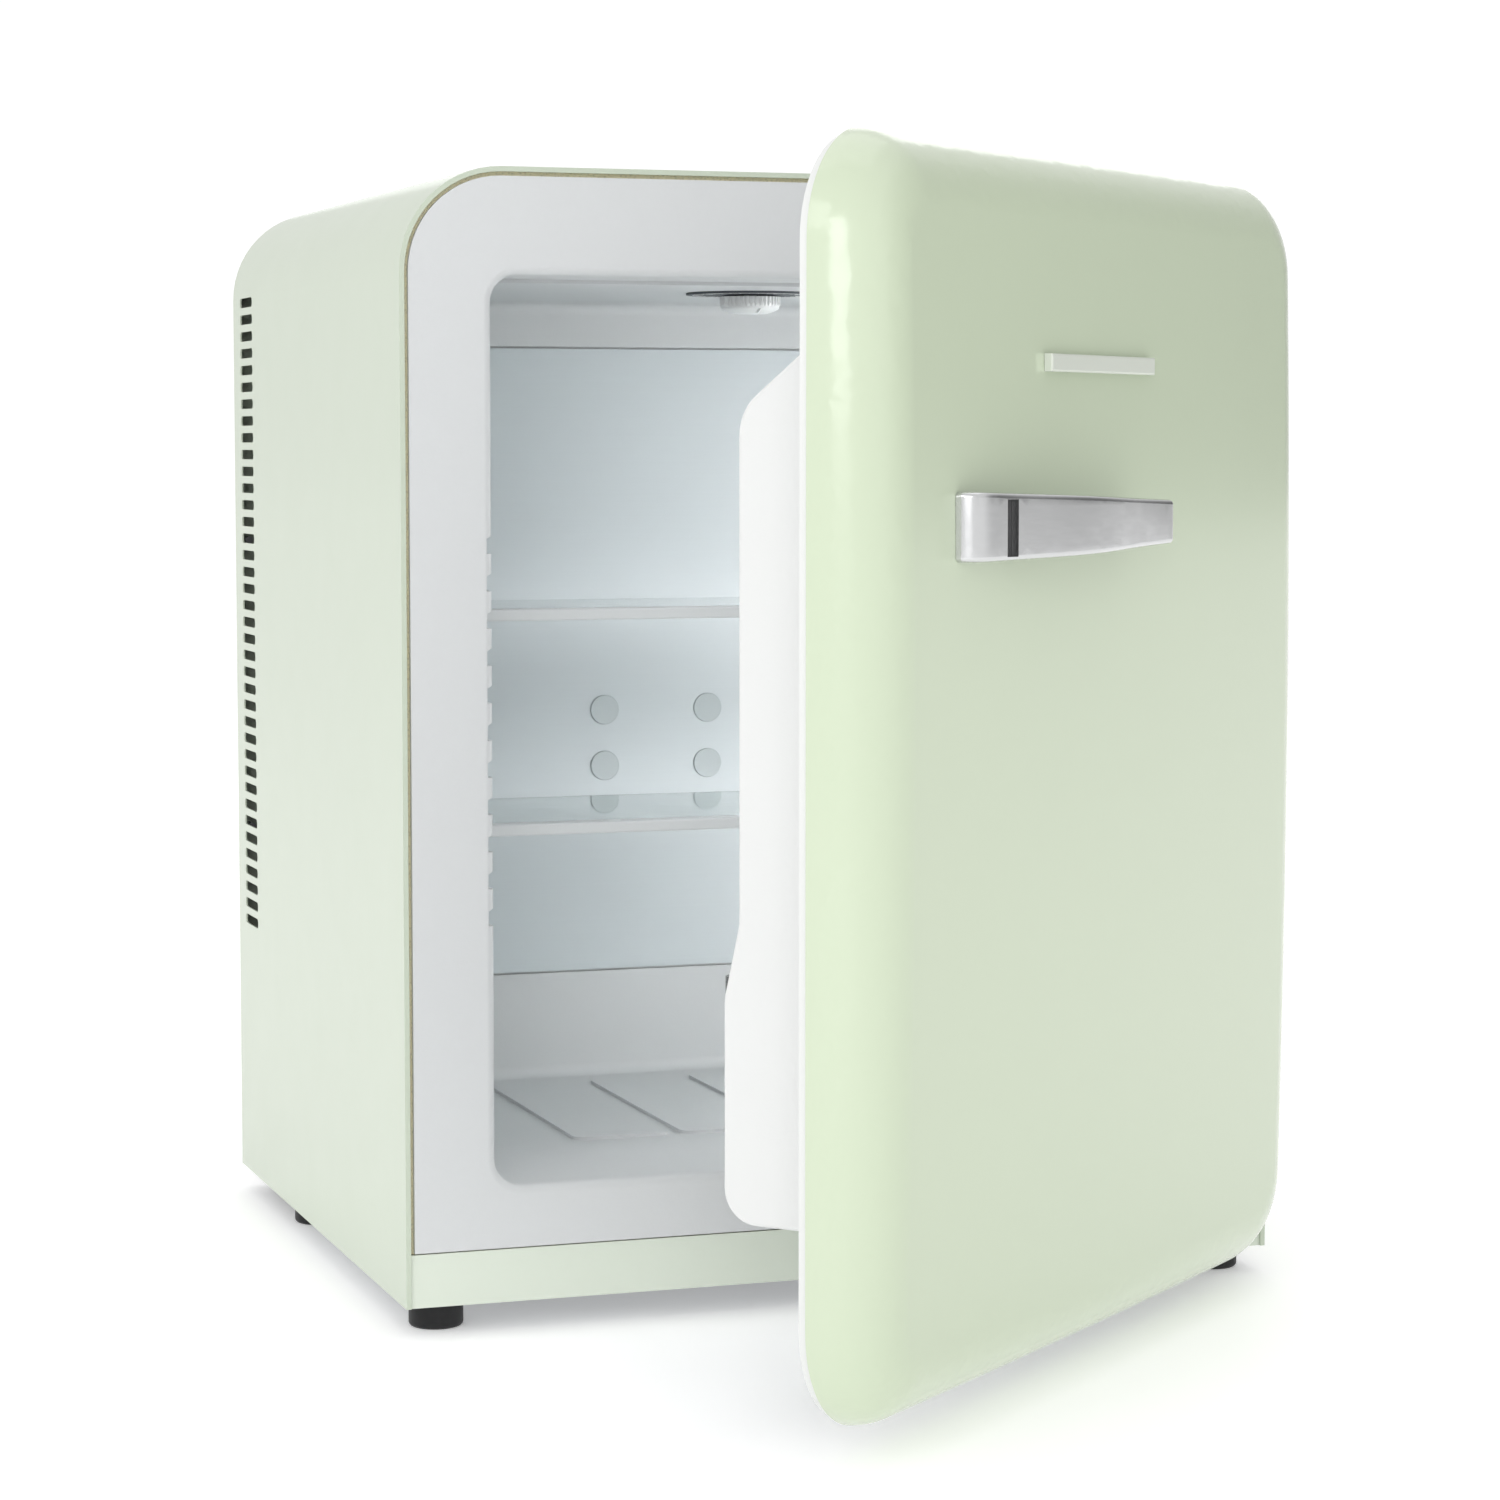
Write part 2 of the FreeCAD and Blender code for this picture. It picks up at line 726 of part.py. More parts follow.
clampSeats = []
for sideX in (-1, 1):
    for sideZ in (-1, 1):
        clampSeats.append(vec(stackX + sideX * clampX, sheetBack + sinkBase, stackZ + sideZ * clampZ))
clampHoles = Part.makeCompound([panHole(seat, unitY * -1, clampLength) for seat in clampSeats])
coldBlock = box(stackX - blockHalf, stackX + blockHalf, plateBack, coldBlockEnd, blockLow, blockHigh)
coldBlock = coldBlock.cut(plateHoles).cut(clampHoles)
export(coldBlock, "cold_block")
half = peltierSize / 2
peltier = box(stackX - half, stackX + half, coldBlockEnd, sheetBack, stackZ - half, stackZ + half)
export(peltier, "peltier_module")
export([panScrew(seat, unitY * -1, clampLength) for seat in clampSeats], "module_clamp_screws")

sink = box(stackX - sinkWidth / 2, stackX + sinkWidth / 2, sheetBack, sheetBack + sinkBase,
           stackZ - sinkHeight / 2, stackZ + sinkHeight / 2)
fins = []
for i in range(finCount):
    middle = stackX + (i - (finCount - 1) / 2) * finPitch
    fins.append(box(middle - finThickness / 2, middle + finThickness / 2, sheetBack + sinkBase - finRoot, finEnd,
                    stackZ - sinkHeight / 2, stackZ + sinkHeight / 2))
fanScrewSeats = []
for sideX in (-1, 1):
    for sideZ in (-1, 1):
        fanScrewSeats.append(vec(stackX + sideX * fanScrewSpacing / 2, fanBack, stackZ + sideZ * fanScrewSpacing / 2))
fanScrewLength = fanDepth + fanScrewReach
fanHoles = Part.makeCompound([panHole(seat, unitY * -1, fanScrewLength) for seat in fanScrewSeats])
clampHeads = Part.makeCompound([rod(screwHeadRadius + headRoom, seat, unitY, finHeight + 1) for seat in clampSeats])
sink = joined([sink] + fins).cut(clampHoles).cut(clampHeads).cut(fanHoles)
export(sink, "hot_sink")

# Fan: square frame with a struts-held boss, and a bladed rotor whose axle runs in the boss
hubAxis = vec(stackX, 0, stackZ)
fanFrame = prismY(stackX - fanSize / 2, stackX + fanSize / 2, stackZ - fanSize / 2, stackZ + fanSize / 2,
                  fanFront, fanBack, fanCornerRadius, fanCornerRadius)
fanFrame = fanFrame.cut(rod(fanBore, hubAxis + unitY * (fanFront - 1), unitY, fanDepth + 2))
boss = rod(hubRadius, hubAxis + unitY * (fanBack - strutThickness), unitY, strutThickness)
sleeve = rod(axleBoss, hubAxis + unitY * (fanBack - strutThickness - sleeveLength), unitY, sleeveLength + 1)
pieces = [fanFrame, boss, sleeve]
for i in range(4):
    strut = box(stackX + hubRadius - 2, stackX + fanBore + 2, fanBack - strutThickness, fanBack,
                stackZ - strutWidth / 2, stackZ + strutWidth / 2)
    strut.rotate(hubAxis, unitY, 45 + 90 * i)
    pieces.append(strut)
axleHole = rod(axleRadius + runningClearance, hubAxis + unitY * (fanBack - 10), unitY, 10 - axleEndGap / 2)
fanFrame = joined(pieces).cut(axleHole).cut(fanHoles)
export(fanFrame, "fan_frame")
export([panScrew(seat, unitY * -1, fanScrewLength) for seat in fanScrewSeats], "fan_screws")

hubFront = fanFront + rotorGap
hubEnd = hubFront + hubLength
hub = rod(hubRadius - 1.0, hubAxis + unitY * hubFront, unitY, hubLength - 1.0)
rim = [e for e in hub.Edges if e.Closed and e.CenterOfMass.y < hubFront + 0.5]
hub = hub.makeFillet(rotorRounding, rim)
axle = rod(axleRadius, hubAxis + unitY * (hubFront + 2), unitY, fanBack - axleEndGap - hubFront - 2)
rotorPieces = [hub, axle]
for i in range(bladeCount):
    lower = polygonPrism([
        vec(0, hubFront + 1, -bladeHalfSpan), vec(0, hubFront + 1 + bladeThickness, -bladeHalfSpan),
        vec(0, hubEnd - 2 + bladeThickness, bladeHalfSpan), vec(0, hubEnd - 2, bladeHalfSpan)],
        unitX * (fanBore - bladeTipGap))
    lower.translate(hubAxis)
    lower.rotate(hubAxis, unitY, 360.0 * i / bladeCount)
    tipLimit = rod(fanBore - bladeTipGap, hubAxis + unitY * (hubFront - 5), unitY, hubLength + 12)
    core = rod(hubRadius - bladeOverlap, hubAxis + unitY * (hubFront - 5), unitY, hubLength + 12)
    rotorPieces.append(lower.common(tipLimit).cut(core))
export(joined(rotorPieces), "fan_rotor")

# Rear sheet over the foam
sheetEdge = sheet + packingGap
rearWall = archPrism(sheetEdge, foamBack, sheetBack, bottom + panFlange + packingGap)
windowHalf = sheetWindow / 2
rearWall = rearWall.cut(box(stackX - windowHalf, stackX + windowHalf, foamBack - 1, sheetBack + 1,
                            stackZ - windowHalf, stackZ + windowHalf)).cut(clampHoles)
boardX0 = -halfWidth + supplySideInset
boardY0 = sheetBack + boardStandOff
boardZ0 = supplyBase + boardRise
boardHoleSpots = []
for sideX in (boardHoleInset, boardSize[0] - boardHoleInset):
    for sideZ in (boardHoleInset, boardSize[2] - boardHoleInset):
        boardHoleSpots.append(vec(boardX0 + sideX, boardY0, boardZ0 + sideZ))
export(rearWall, "foam_back_sheet")

# Control board on stand-offs and the boxed power supply
board = box(boardX0, boardX0 + boardSize[0], boardY0, boardY0 + boardSize[1], boardZ0, boardZ0 + boardSize[2])

# Components on the board: left, low, width and height as shares of the board, then thickness
chips = [
    (0.12, 0.18, 0.22, 0.22, 12.0),
    (0.46, 0.14, 0.30, 0.30, 9.0),
    (0.16, 0.58, 0.16, 0.26, 16.0),
    (0.42, 0.62, 0.20, 0.18, 6.0),
    (0.74, 0.56, 0.16, 0.30, 11.0),
]
boardPieces = [board]
for left, low, wide, tall, thick in chips:
    x0 = boardX0 + left * boardSize[0]
    z0 = boardZ0 + low * boardSize[2]
    boardPieces.append(box(x0, x0 + wide * boardSize[0], boardY0 + 1, boardY0 + boardSize[1] + thick,
                           z0, z0 + tall * boardSize[2]))
for spot in boardHoleSpots:
    boardPieces.append(rod(boardPillar, vec(spot.x, sheetBack, spot.z), unitY, boardStandOff + 1))
export(joined(boardPieces), "control_board")

supplyX1 = halfWidth - supplySideInset
supplyX0 = supplyX1 - supplySize[0]
supplyLow = supplyBase + supplyRise
supplyHigh = supplyLow + supplySize[2]
supplyFace = sheetBack + supplySize[1]
supply = box(supplyX0, supplyX1, sheetBack, supplyFace, supplyLow, supplyHigh)
supply = supply.makeFillet(supplyRadius, edgesAlong(supply, unitY))
slots = []
for i in range(supplySlotCount):
    middle = (supplyX0 + supplyX1) / 2 + (i - (supplySlotCount - 1) / 2) * supplySlotPitch
    slots.append(box(middle - supplySlotWidth / 2, middle + supplySlotWidth / 2, supplyFace - supplySlotSink, supplyFace + 1,
                     supplyLow + supplySlotMargin, supplyHigh - supplySlotMargin))
export(supply.cut(Part.makeCompound(slots)), "power_supply")

# Rear cover with its fan grille, and the mains inlet set in it
coverOutline = archPrism(sheet + 2 * packingGap, coverFront, rear, bottom + packingGap)
grille = []
for i in range(grilleSlots):
    level = stackZ + (i - (grilleSlots - 1) / 2) * grillePitch
    rise = abs(level - stackZ)
    halfSpan = math.sqrt(fanBore * fanBore - rise * rise)
    slot = box(stackX - halfSpan, stackX + halfSpan, coverFront - 1, rear + 1,
               level - grilleSlotHeight / 2, level + grilleSlotHeight / 2)
    grille.append(slot.makeFillet(grilleEndShare * grilleSlotHeight, edgesAlong(slot, unitY)))
inletX = halfWidth - inletSideInset
inletZ = bottom + inletBase
inletHalf = inletWidth / 2
inletTall = inletHeight / 2
inletBody = prismY(inletX - inletHalf, inletX + inletHalf, inletZ - inletTall, inletZ + inletTall,
                   rear - inletDepth, rear, inletLowRadius, inletHighRadius)
inletHole = prismY(inletX - inletHalf - packingGap, inletX + inletHalf + packingGap,
                   inletZ - inletTall - packingGap, inletZ + inletTall + packingGap,
                   coverFront - 1, rear + 1, inletLowRadius, inletHighRadius)
cover = coverOutline.cut(Part.makeCompound(grille)).cut(inletHole).cut(Part.makeCompound(coverHoles))
export(cover, "rear_cover")
export([panScrew(seat, unitY * -1, screwLength) for seat in coverScrewSeats], "rear_cover_screws")

flangeBack = rear + inletRimThickness
inletRim = prismY(inletX - inletHalf - inletFlange, inletX + inletHalf + inletFlange,
                  inletZ - inletTall - inletFlange, inletZ + inletTall + inletFlange, rear, flangeBack, inletWall, inletWall)
socket = prismY(inletX - inletHalf + inletWall, inletX + inletHalf - inletWall, inletZ - inletTall + inletWall,
                inletZ + inletTall - inletWall, rear - inletDepth + inletWall, flangeBack + 1,
                inletLowRadius - 0.5, inletHighRadius - 1)
blades = []
for offsetX, offsetZ in inletBladeSpots:
    blades.append(box(inletX + offsetX - inletBladeHalfWidth, inletX + offsetX + inletBladeHalfWidth,
                      rear - inletDepth + 1, rear - inletWall,
                      inletZ + offsetZ - inletBladeHalfHeight, inletZ + offsetZ + inletBladeHalfHeight))
inlet = joined([inletBody, inletRim]).cut(socket)
export(joined([inlet] + blades), "power_inlet")

# Cabinet foam: everything between the wrap and the liner, set back by the packing gap
foam = archPrism(sheet + packingGap, frameBack + packingGap, foamBack - packingGap, panTop + packingGap)
grown = packingGap
tubSpace = prismY(-tubHalf - grown, tubHalf + grown, tubLow - grown, tubHigh + grown, front, tubBack + grown,
                  cavityRadius + linerWall, cavityRadius + linerWall)
grooveLow = grooveLevel(0) - grooveHeight / 2 - linerWall - grown
grooveHigh = grooveLevel(grooveCount - 1) + grooveHeight / 2 + linerWall + grown
grooveSpace = box(-grooveReach - linerWall - grown, grooveReach + linerWall + grown, front, grooveRear + linerWall + grown,
                  grooveLow, grooveHigh)
plinthSpace = box(-halfWidth, halfWidth, front, plinthFront + plinthReturn + grown, bottom, plinthTop + grown)
flangeSpaces = []
for side in (-1, 1):
    inner = side * (panHalf - panThickness - grown)
    outer = side * halfWidth
    flangeSpaces.append(box(min(inner, outer), max(inner, outer), front, rear, bottom, bottom + panFlange + grown))
potSpace = box(dialX - potHalf - grown, dialX + potHalf + grown, dialY - potHalf - grown, dialY + potHalf + grown,
               potBase - 1, potBase + potHeight + grown)
backingRoom = backingMargin + packingGap
backingSpaces = [box(plateLeft - backingRoom, plateRight + backingRoom, front,
                     frameBack + 2 * packingGap + backingThickness, low - backingRoom, high + backingRoom)
                 for low, high in hingeSpans]
spaces = [tubSpace, grooveSpace, plinthSpace, potSpace, blockWindow] + flangeSpaces + backingSpaces
foam = foam.cut(Part.makeCompound(hingeHoles)).cut(footHoles)
for space in spaces:
    foam = foam.cut(space)
export(foam, "cabinet_foam")

# Glass shelves with a moulded front trim
shelfHalf = grooveReach - shelfSideClearance
shelfRear = cavityBack - shelfRearMargin
for index, name in ((upperShelfGroove, "upper_shelf"), (lowerShelfGroove, "lower_shelf")):
    low = grooveLevel(index) - grooveHeight / 2 + shelfRestGap
    glassLow = low + glassRise
    glassHigh = glassLow + glassThickness
    glass = box(-shelfHalf, shelfHalf, front + shelfFront + trimLip, shelfRear, glassLow, glassHigh)
    glass = glass.makeFillet(glassRadius, [e for e in edgesAlong(glass, unitZ) if e.CenterOfMass.y > shelfRear - 1])
    trim = box(-shelfHalf, shelfHalf, front + shelfFront, front + shelfFront + trimDepth, low, low + trimHeight)
    trim = trim.makeFillet(trimRadius, [e for e in edgesAlong(trim, unitX) if e.CenterOfMass.y < front + shelfFront + 1])
    rabbet = box(-shelfHalf - 1, shelfHalf + 1, front + shelfFront + trimLip - 0.1, front + shelfFront + trimDepth + 1,
                 low - 1, glassHigh + glassSlip)
    export(glass, name + "_glass")
    export(trim.cut(rabbet), name + "_trim")


# Door, drawn shut
def doorBody(inset, rearY):
    """The door's rounded and slightly domed block, set in by a distance, ending at rearY."""
    face = doorFace - doorCrown + inset
    roomY = doorSkinBack + doorRoundingRoom
    block = prismY(-halfWidth + inset, halfWidth - inset, bottom + inset, top - inset, face - 4, roomY,
                   doorCornerRadius - inset, doorCornerRadius - inset)
    radius = doorCrownRadius - inset
    ball = Part.makeSphere(radius, vec(0, face + radius, doorMiddle))
    block = block.common(ball)
    rim = []
    crown = [f for f in block.Faces if isinstance(f.Surface, Part.Sphere)][0]
    for edge in crown.Edges:
        rim.append(edge)
    block = block.makeFillet(doorRounding - inset, rim)
    return block.cut(box(-bodyWidth, bodyWidth, rearY, roomY + 1, 0, top + beyond))


def slotTool(arm):
    """Room in the door for a hinge arm, from straight back to past the hinge-side edge."""
    low = arm - armThickness / 2 - slotClearance
    tall = armThickness + 2 * slotClearance
    parts = [rod(slotHalfWidth, vec(hingeX, hingeY, low), unitZ, tall)]
    reach = [vec(hingeX, hingeY, low)]
    for i in range(slotSteps + 1):
        angle = math.radians(90 - i * (90 + slotSweep) / slotSteps)
        reach.append(vec(hingeX + beyond * math.cos(angle), hingeY + beyond * math.sin(angle), low))
    parts.append(polygonPrism(reach, unitZ * tall))
    for angle in (90, -slotSweep):
        bar = box(hingeX, hingeX + beyond, hingeY - slotHalfWidth, hingeY + slotHalfWidth, low, low + tall)
        bar.rotate(vec(hingeX, hingeY, 0), unitZ, angle)
        parts.append(bar)
    return joined(parts)


doorOuter = doorBody(0, doorSkinBack)
doorInner = doorBody(doorWall, doorSkinBack + 1)
slotsForArms = Part.makeCompound([slotTool(upperArm), slotTool(lowerArm)])

leverX = -halfWidth + handleLeft
rootMiddle = leverX + insertLeft + insertWidth / 2
handleScrewSeats = []
for turn in (-1, 1):
    handleScrewSeats.append(vec(rootMiddle, doorFace + doorWall + handleScrewGap, handleHeight + turn * handleScrewSpacing / 2))
handleHoles = Part.makeCompound([panHole(seat, unitY * -1, screwLength) for seat in handleScrewSeats])
handleHeads = Part.makeCompound([rod(screwHeadRadius + headRoom, seat - unitY * handleHeadRoom, unitY,
                                     handleHeadRoom + screwHeadHeight + headRoom) for seat in handleScrewSeats])
skin = doorOuter.cut(doorInner).cut(slotsForArms).cut(handleHoles)
export(swung(skin), "door_outer_skin")

dykeTop = top - dykeTopMargin
dykeShoulder = top - dykeShoulderMargin
dykeLow = bottom + dykeBase
stepTop = bottom + dykeStepTop
stepBottom = bottom + dykeStepBottom


def dykePrism(x0, x1, inset, base):
    """One moulded rib standing on the depth base, set in by a distance on its free sides."""
    deep = front + dykeDepth - inset
    deepLow = front + dykeDepthLow - inset
    slope = inset * dykeSlant
    foot = 0 if base > doorBack - 1 else dykeFootSlant
    points = [
        vec(x0, base, dykeLow + inset),
        vec(x0, deepLow, dykeLow + inset),
        vec(x0, deepLow, stepBottom - inset * dykeStepSlant),
        vec(x0, deep, stepTop - inset * dykeStepSlant),
        vec(x0, deep, dykeShoulder - slope),
        vec(x0, base, dykeTop - slope - foot),
    ]
    rib = polygonPrism(points, unitX * (x1 - x0))
    for radius, y, z in ((dykeCornerRadius, deepLow, dykeLow + inset), (dykeShoulderRadius, deep, points[4].z),
                         (dykeStepRadius, deep, points[3].z), (dykeStepRadius, deepLow, points[2].z)):
        bend = [e for e in edgesAlong(rib, unitX)
                if abs(e.CenterOfMass.y - y) < 0.01 and abs(e.CenterOfMass.z - z) < 0.01]
        rib = rib.makeFillet(radius - inset, bend)
    return rib


trayLow = bottom + trayBase
trayHigh = top - trayTopMargin
trayBack = doorBack - trayDepth
flangeBody = prismY(-halfWidth + flangeInset, halfWidth - flangeInset, bottom + flangeInset, top - flangeInset,
                    doorSkinBack, doorBack, doorCornerRadius - flangeInset, doorCornerRadius - flangeInset)
tray = prismY(-dykeInner, dykeInner, trayLow, trayHigh, trayBack - linerWall, doorBack, trayRadius, trayRadius)
trayHollow = prismY(-dykeInner + linerWall, dykeInner - linerWall, trayLow + linerWall, trayHigh - linerWall,
                    trayBack, doorBack + 1, trayRadius - linerWall, trayRadius - linerWall)
ribs = []
ribCores = []
for side in (-1, 1):
    x0 = min(side * dykeInner, side * dykeOuter)
    x1 = max(side * dykeInner, side * dykeOuter)
    rib = dykePrism(x0, x1, 0, doorBack - 1)
    longEdges = [e for e in rib.Edges if abs(e.CenterOfMass.x - x0) < 0.001 or abs(e.CenterOfMass.x - x1) < 0.001]
    rounded = [e for e in longEdges if e.CenterOfMass.y > doorBack + 5]
    ribs.append(rib.makeFillet(dykeEdgeRadius, rounded))
    ribCores.append(dykePrism(x0 + linerWall, x1 - linerWall, linerWall, doorSkinBack - 1))
doorLiner = joined([flangeBody, tray] + ribs).cut(trayHollow).cut(Part.makeCompound(ribCores)).cut(slotsForArms)
export(swung(doorLiner), "door_inner_liner")

# Hinge blocks in the door: each holds the pin above and below the arm
skinRoom = doorBody(doorWall + packingGap, doorSkinBack - packingGap)
blockSpaces = []
for arm, name in ((upperArm, "upper"), (lowerArm, "lower")):
    low = arm - blockHeight / 2
    core = rod(blockRadius, vec(hingeX, hingeY, low), unitZ, blockHeight)
    web = box(hingeX - blockRadius, hingeX + blockRadius, hingeY, doorSkinBack - packingGap, low, low + blockHeight)
    bore = rod(pinRadius + runningClearance, vec(hingeX, hingeY, arm - pinLength / 2 - 1), unitZ, pinLength + 2)
    block = joined([core, web]).common(skinRoom).cut(bore).cut(slotTool(arm))
    export(swung(block), "hinge_block_" + name)
    room = rod(blockRadius + packingGap, vec(hingeX, hingeY, low - packingGap), unitZ, blockHeight + 2 * packingGap)
    roomWeb = box(hingeX - blockRadius - packingGap, hingeX + blockRadius + packingGap, hingeY, doorBack,
                  low - packingGap, low + blockHeight + packingGap)
    blockSpaces.extend([room, roomWeb])

# Door foam fills the skin and the hollow ribs
traySpace = prismY(-dykeInner - packingGap, dykeInner + packingGap, trayLow - packingGap, trayHigh + packingGap,
                   trayBack - linerWall - packingGap, doorBack, trayRadius, trayRadius)
foamRibs = []
for side in (-1, 1):
    x0 = min(side * dykeInner, side * dykeOuter) + linerWall + packingGap
    x1 = max(side * dykeInner, side * dykeOuter) - linerWall - packingGap
    foamRibs.append(dykePrism(x0, x1, linerWall + packingGap, doorSkinBack - 2))
doorFoam = skinRoom.cut(traySpace)
doorFoam = joined([doorFoam] + foamRibs)
for space in blockSpaces:
    doorFoam = doorFoam.cut(space)
doorFoam = doorFoam.cut(slotsForArms).cut(handleHeads)
export(swung(doorFoam), "door_foam")

# Door seal
sealHalf = halfWidth - sealSideInset
sealLow = bottom + sealBottom
sealHigh = top - sealTopMargin
seal = prismY(-sealHalf, sealHalf, sealLow, sealHigh, doorBack, frameFace - sealFaceGap, sealRadius, sealRadius)
sealInside = prismY(-sealHalf + sealWidth, sealHalf - sealWidth, sealLow + sealWidth, sealHigh - sealWidth,
                    doorBack - 1, front + 2, sealRadius - sealWidth, sealRadius - sealWidth)
bellowsLow = doorBack + bellowsStart
bellowsOuter = prismY(-sealHalf - 1, sealHalf + 1, sealLow - 1, sealHigh + 1, bellowsLow, bellowsLow + bellowsWidth,
                      sealRadius + 1, sealRadius + 1)
bellowsInner = prismY(-sealHalf + bellowsSink, sealHalf - bellowsSink, sealLow + bellowsSink, sealHigh - bellowsSink,
                      bellowsLow - 0.2, bellowsLow + bellowsWidth + 0.6, sealRadius - bellowsSink, sealRadius - bellowsSink)
seal = seal.cut(sealInside).cut(bellowsOuter.cut(bellowsInner))
export(swung(seal), "door_gasket")

# Clear racks between the ribs
rackHalf = dykeInner - rackSideGap
upperRackTop = grooveLevel(upperShelfGroove) - upperRackDrop
rackSpecs = [
    ("door_rack_upper", upperRackTop - upperRackHeight, upperRackTop, front + upperRackFront, upperRackSideShare),
    ("door_rack_lower", bottom + lowerRackBase, bottom + lowerRackBase + lowerRackHeight, front + lowerRackFront,
     lowerRackSideShare),
]
for name, low, high, deep, sideShare in rackSpecs:
    outerRack = prismZ(-rackHalf, rackHalf, doorBack - rackReach, deep, low, high, rackRadius)
    hollow = prismZ(-rackHalf + rackWall, rackHalf - rackWall, doorBack - rackReach + 1, deep - rackWall,
                    low + rackWall, high + 1, rackRadius - 1)
    openBack = box(-rackHalf - 1, rackHalf + 1, doorBack - rackReach - 1, doorBack + rackBackGap, low - 1, high + 1)
    rack = outerRack.cut(hollow).cut(openBack)
    sideTop = low + sideShare * (high - low)
    dip = polygonPrism([vec(-rackHalf - 1, doorBack - 1, sideTop), vec(-rackHalf - 1, deep - rackDipStart, sideTop),
                        vec(-rackHalf - 1, deep - rackDipEnd, high + 1), vec(-rackHalf - 1, doorBack - 1, high + 1)],
                       unitX * (2 * rackHalf + 2))
    rack = rack.cut(dip)
    export(swung(rack), name)

# Handle lever: rises from the door's face at its left and runs free to the right
leverTip = leverX + leverLength
tipX = leverTip - leverTipRound
tipFront = leverFront - leverTipSink
leverPoints = [vec(leverX, doorFace + 2, 0)]
for along, proud in leverSections:
    leverPoints.append(vec(leverX + along, doorFace - proud, 0))
leverPoints.append(vec(tipX, doorFace - tipFront, 0))
leverCurve = Part.BSplineCurve()
leverCurve.interpolate(leverPoints[1:])
tipCurve = Part.Arc(leverPoints[-1], vec(leverTip, doorFace - (tipFront + leverBack) / 2, 0),
                    vec(tipX, doorFace - leverBack, 0)).toShape()
rootX = leverX + leverRootWidth
innerBend = vec(rootX + leverBend, doorFace - leverBack, 0)
rootBend = vec(rootX, doorFace - leverBack + leverBendDepth, 0)
bendMiddle = vec(rootX + leverBend / 4, doorFace - leverBack + leverBendDepth / 4, 0)
leverOutline = Part.Wire([
    Part.makeLine(leverPoints[0], leverPoints[1]),
    leverCurve.toShape(),
    tipCurve,
    Part.makeLine(vec(tipX, doorFace - leverBack, 0), innerBend),
    Part.Arc(innerBend, bendMiddle, rootBend).toShape(),
    Part.makeLine(rootBend, vec(rootX, doorFace + 2, 0)),
    Part.makeLine(vec(rootX, doorFace + 2, 0), leverPoints[0]),
])
lever = Part.Face(leverOutline).extrude(unitZ * (handleTall + 10))
lever.translate(unitZ * (handleHeight - handleTall / 2 - 5))
wedge = polygonPrism([
    vec(leverX - 5, doorFace + 5, handleHeight - handleTall / 2),
    vec(leverTip + 5, doorFace + 5, handleHeight - handleTip / 2),
    vec(leverTip + 5, doorFace + 5, handleHeight + handleTip / 2),
    vec(leverX - 5, doorFace + 5, handleHeight + handleTall / 2),
], unitY * -beyond)
lever = lever.common(wedge)
leverRims = []
for edge in lever.Edges:
    first = edge.Vertexes[0].Point
    last = edge.Vertexes[-1].Point
    hidden = first.y > doorFace + 1 and last.y > doorFace + 1
    if abs(first.z - last.z) < 4 and not hidden:
        leverRims.append(edge)
lever = lever.makeFillet(leverEdge, leverRims)
corners = polygonPrism([
    vec(leverX, doorFace + 5, handleHeight - handleTall / 2),
    vec(leverTip, doorFace + 5, handleHeight - handleTip / 2),
    vec(leverTip, doorFace + 5, handleHeight + handleTip / 2),
    vec(leverX, doorFace + 5, handleHeight + handleTall / 2),
], unitY * -beyond)
for level, radius in ((leverX, handleRootRadius), (leverTip, handleTipRadius)):
    corners = corners.makeFillet(radius, [e for e in edgesAlong(corners, unitY) if abs(e.CenterOfMass.x - level) < 0.01])
lever = lever.common(corners)
touch = doorOuter.copy()
touch.translate(unitY * -barSeat)
insertX = leverX + insertLeft
insertLow = handleHeight - handleTall / 2 + insertLowMargin
insertHigh = handleHeight + handleTall / 2 - insertTopMargin
insertSlot = box(insertX, insertX + insertWidth, doorFace - beyond, doorFace - insertFloor, insertLow, insertHigh)
lever = lever.cut(touch).cut(insertSlot).cut(handleHoles)
export(swung(lever), "handle_lever")
insert = box(insertX + insertSideGap, insertX + insertWidth - insertSideGap,
             doorFace - insertFloor - insertProud, doorFace - insertFloor,
             insertLow + insertSideGap, insertHigh - insertSideGap)
export(swung(insert.cut(handleHoles)), "handle_insert")
export([swung(panScrew(seat, unitY * -1, screwLength)) for seat in handleScrewSeats], "handle_screws")

# Trim bar
barZ = top - barMargin
bar = box(barX - barLength / 2, barX + barLength / 2, doorFace - doorCrown - barThickness, doorFace + 4,
          barZ - barHeight / 2, barZ + barHeight / 2)
bar = bar.makeFillet(barRounding, [e for e in bar.Edges if e.CenterOfMass.y < doorFace - doorCrown - barThickness + 0.01])
export(swung(bar.cut(touch)), "badge_bar")
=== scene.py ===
import bpy
import bmesh
import json
import math
from mathutils import Matrix, Vector


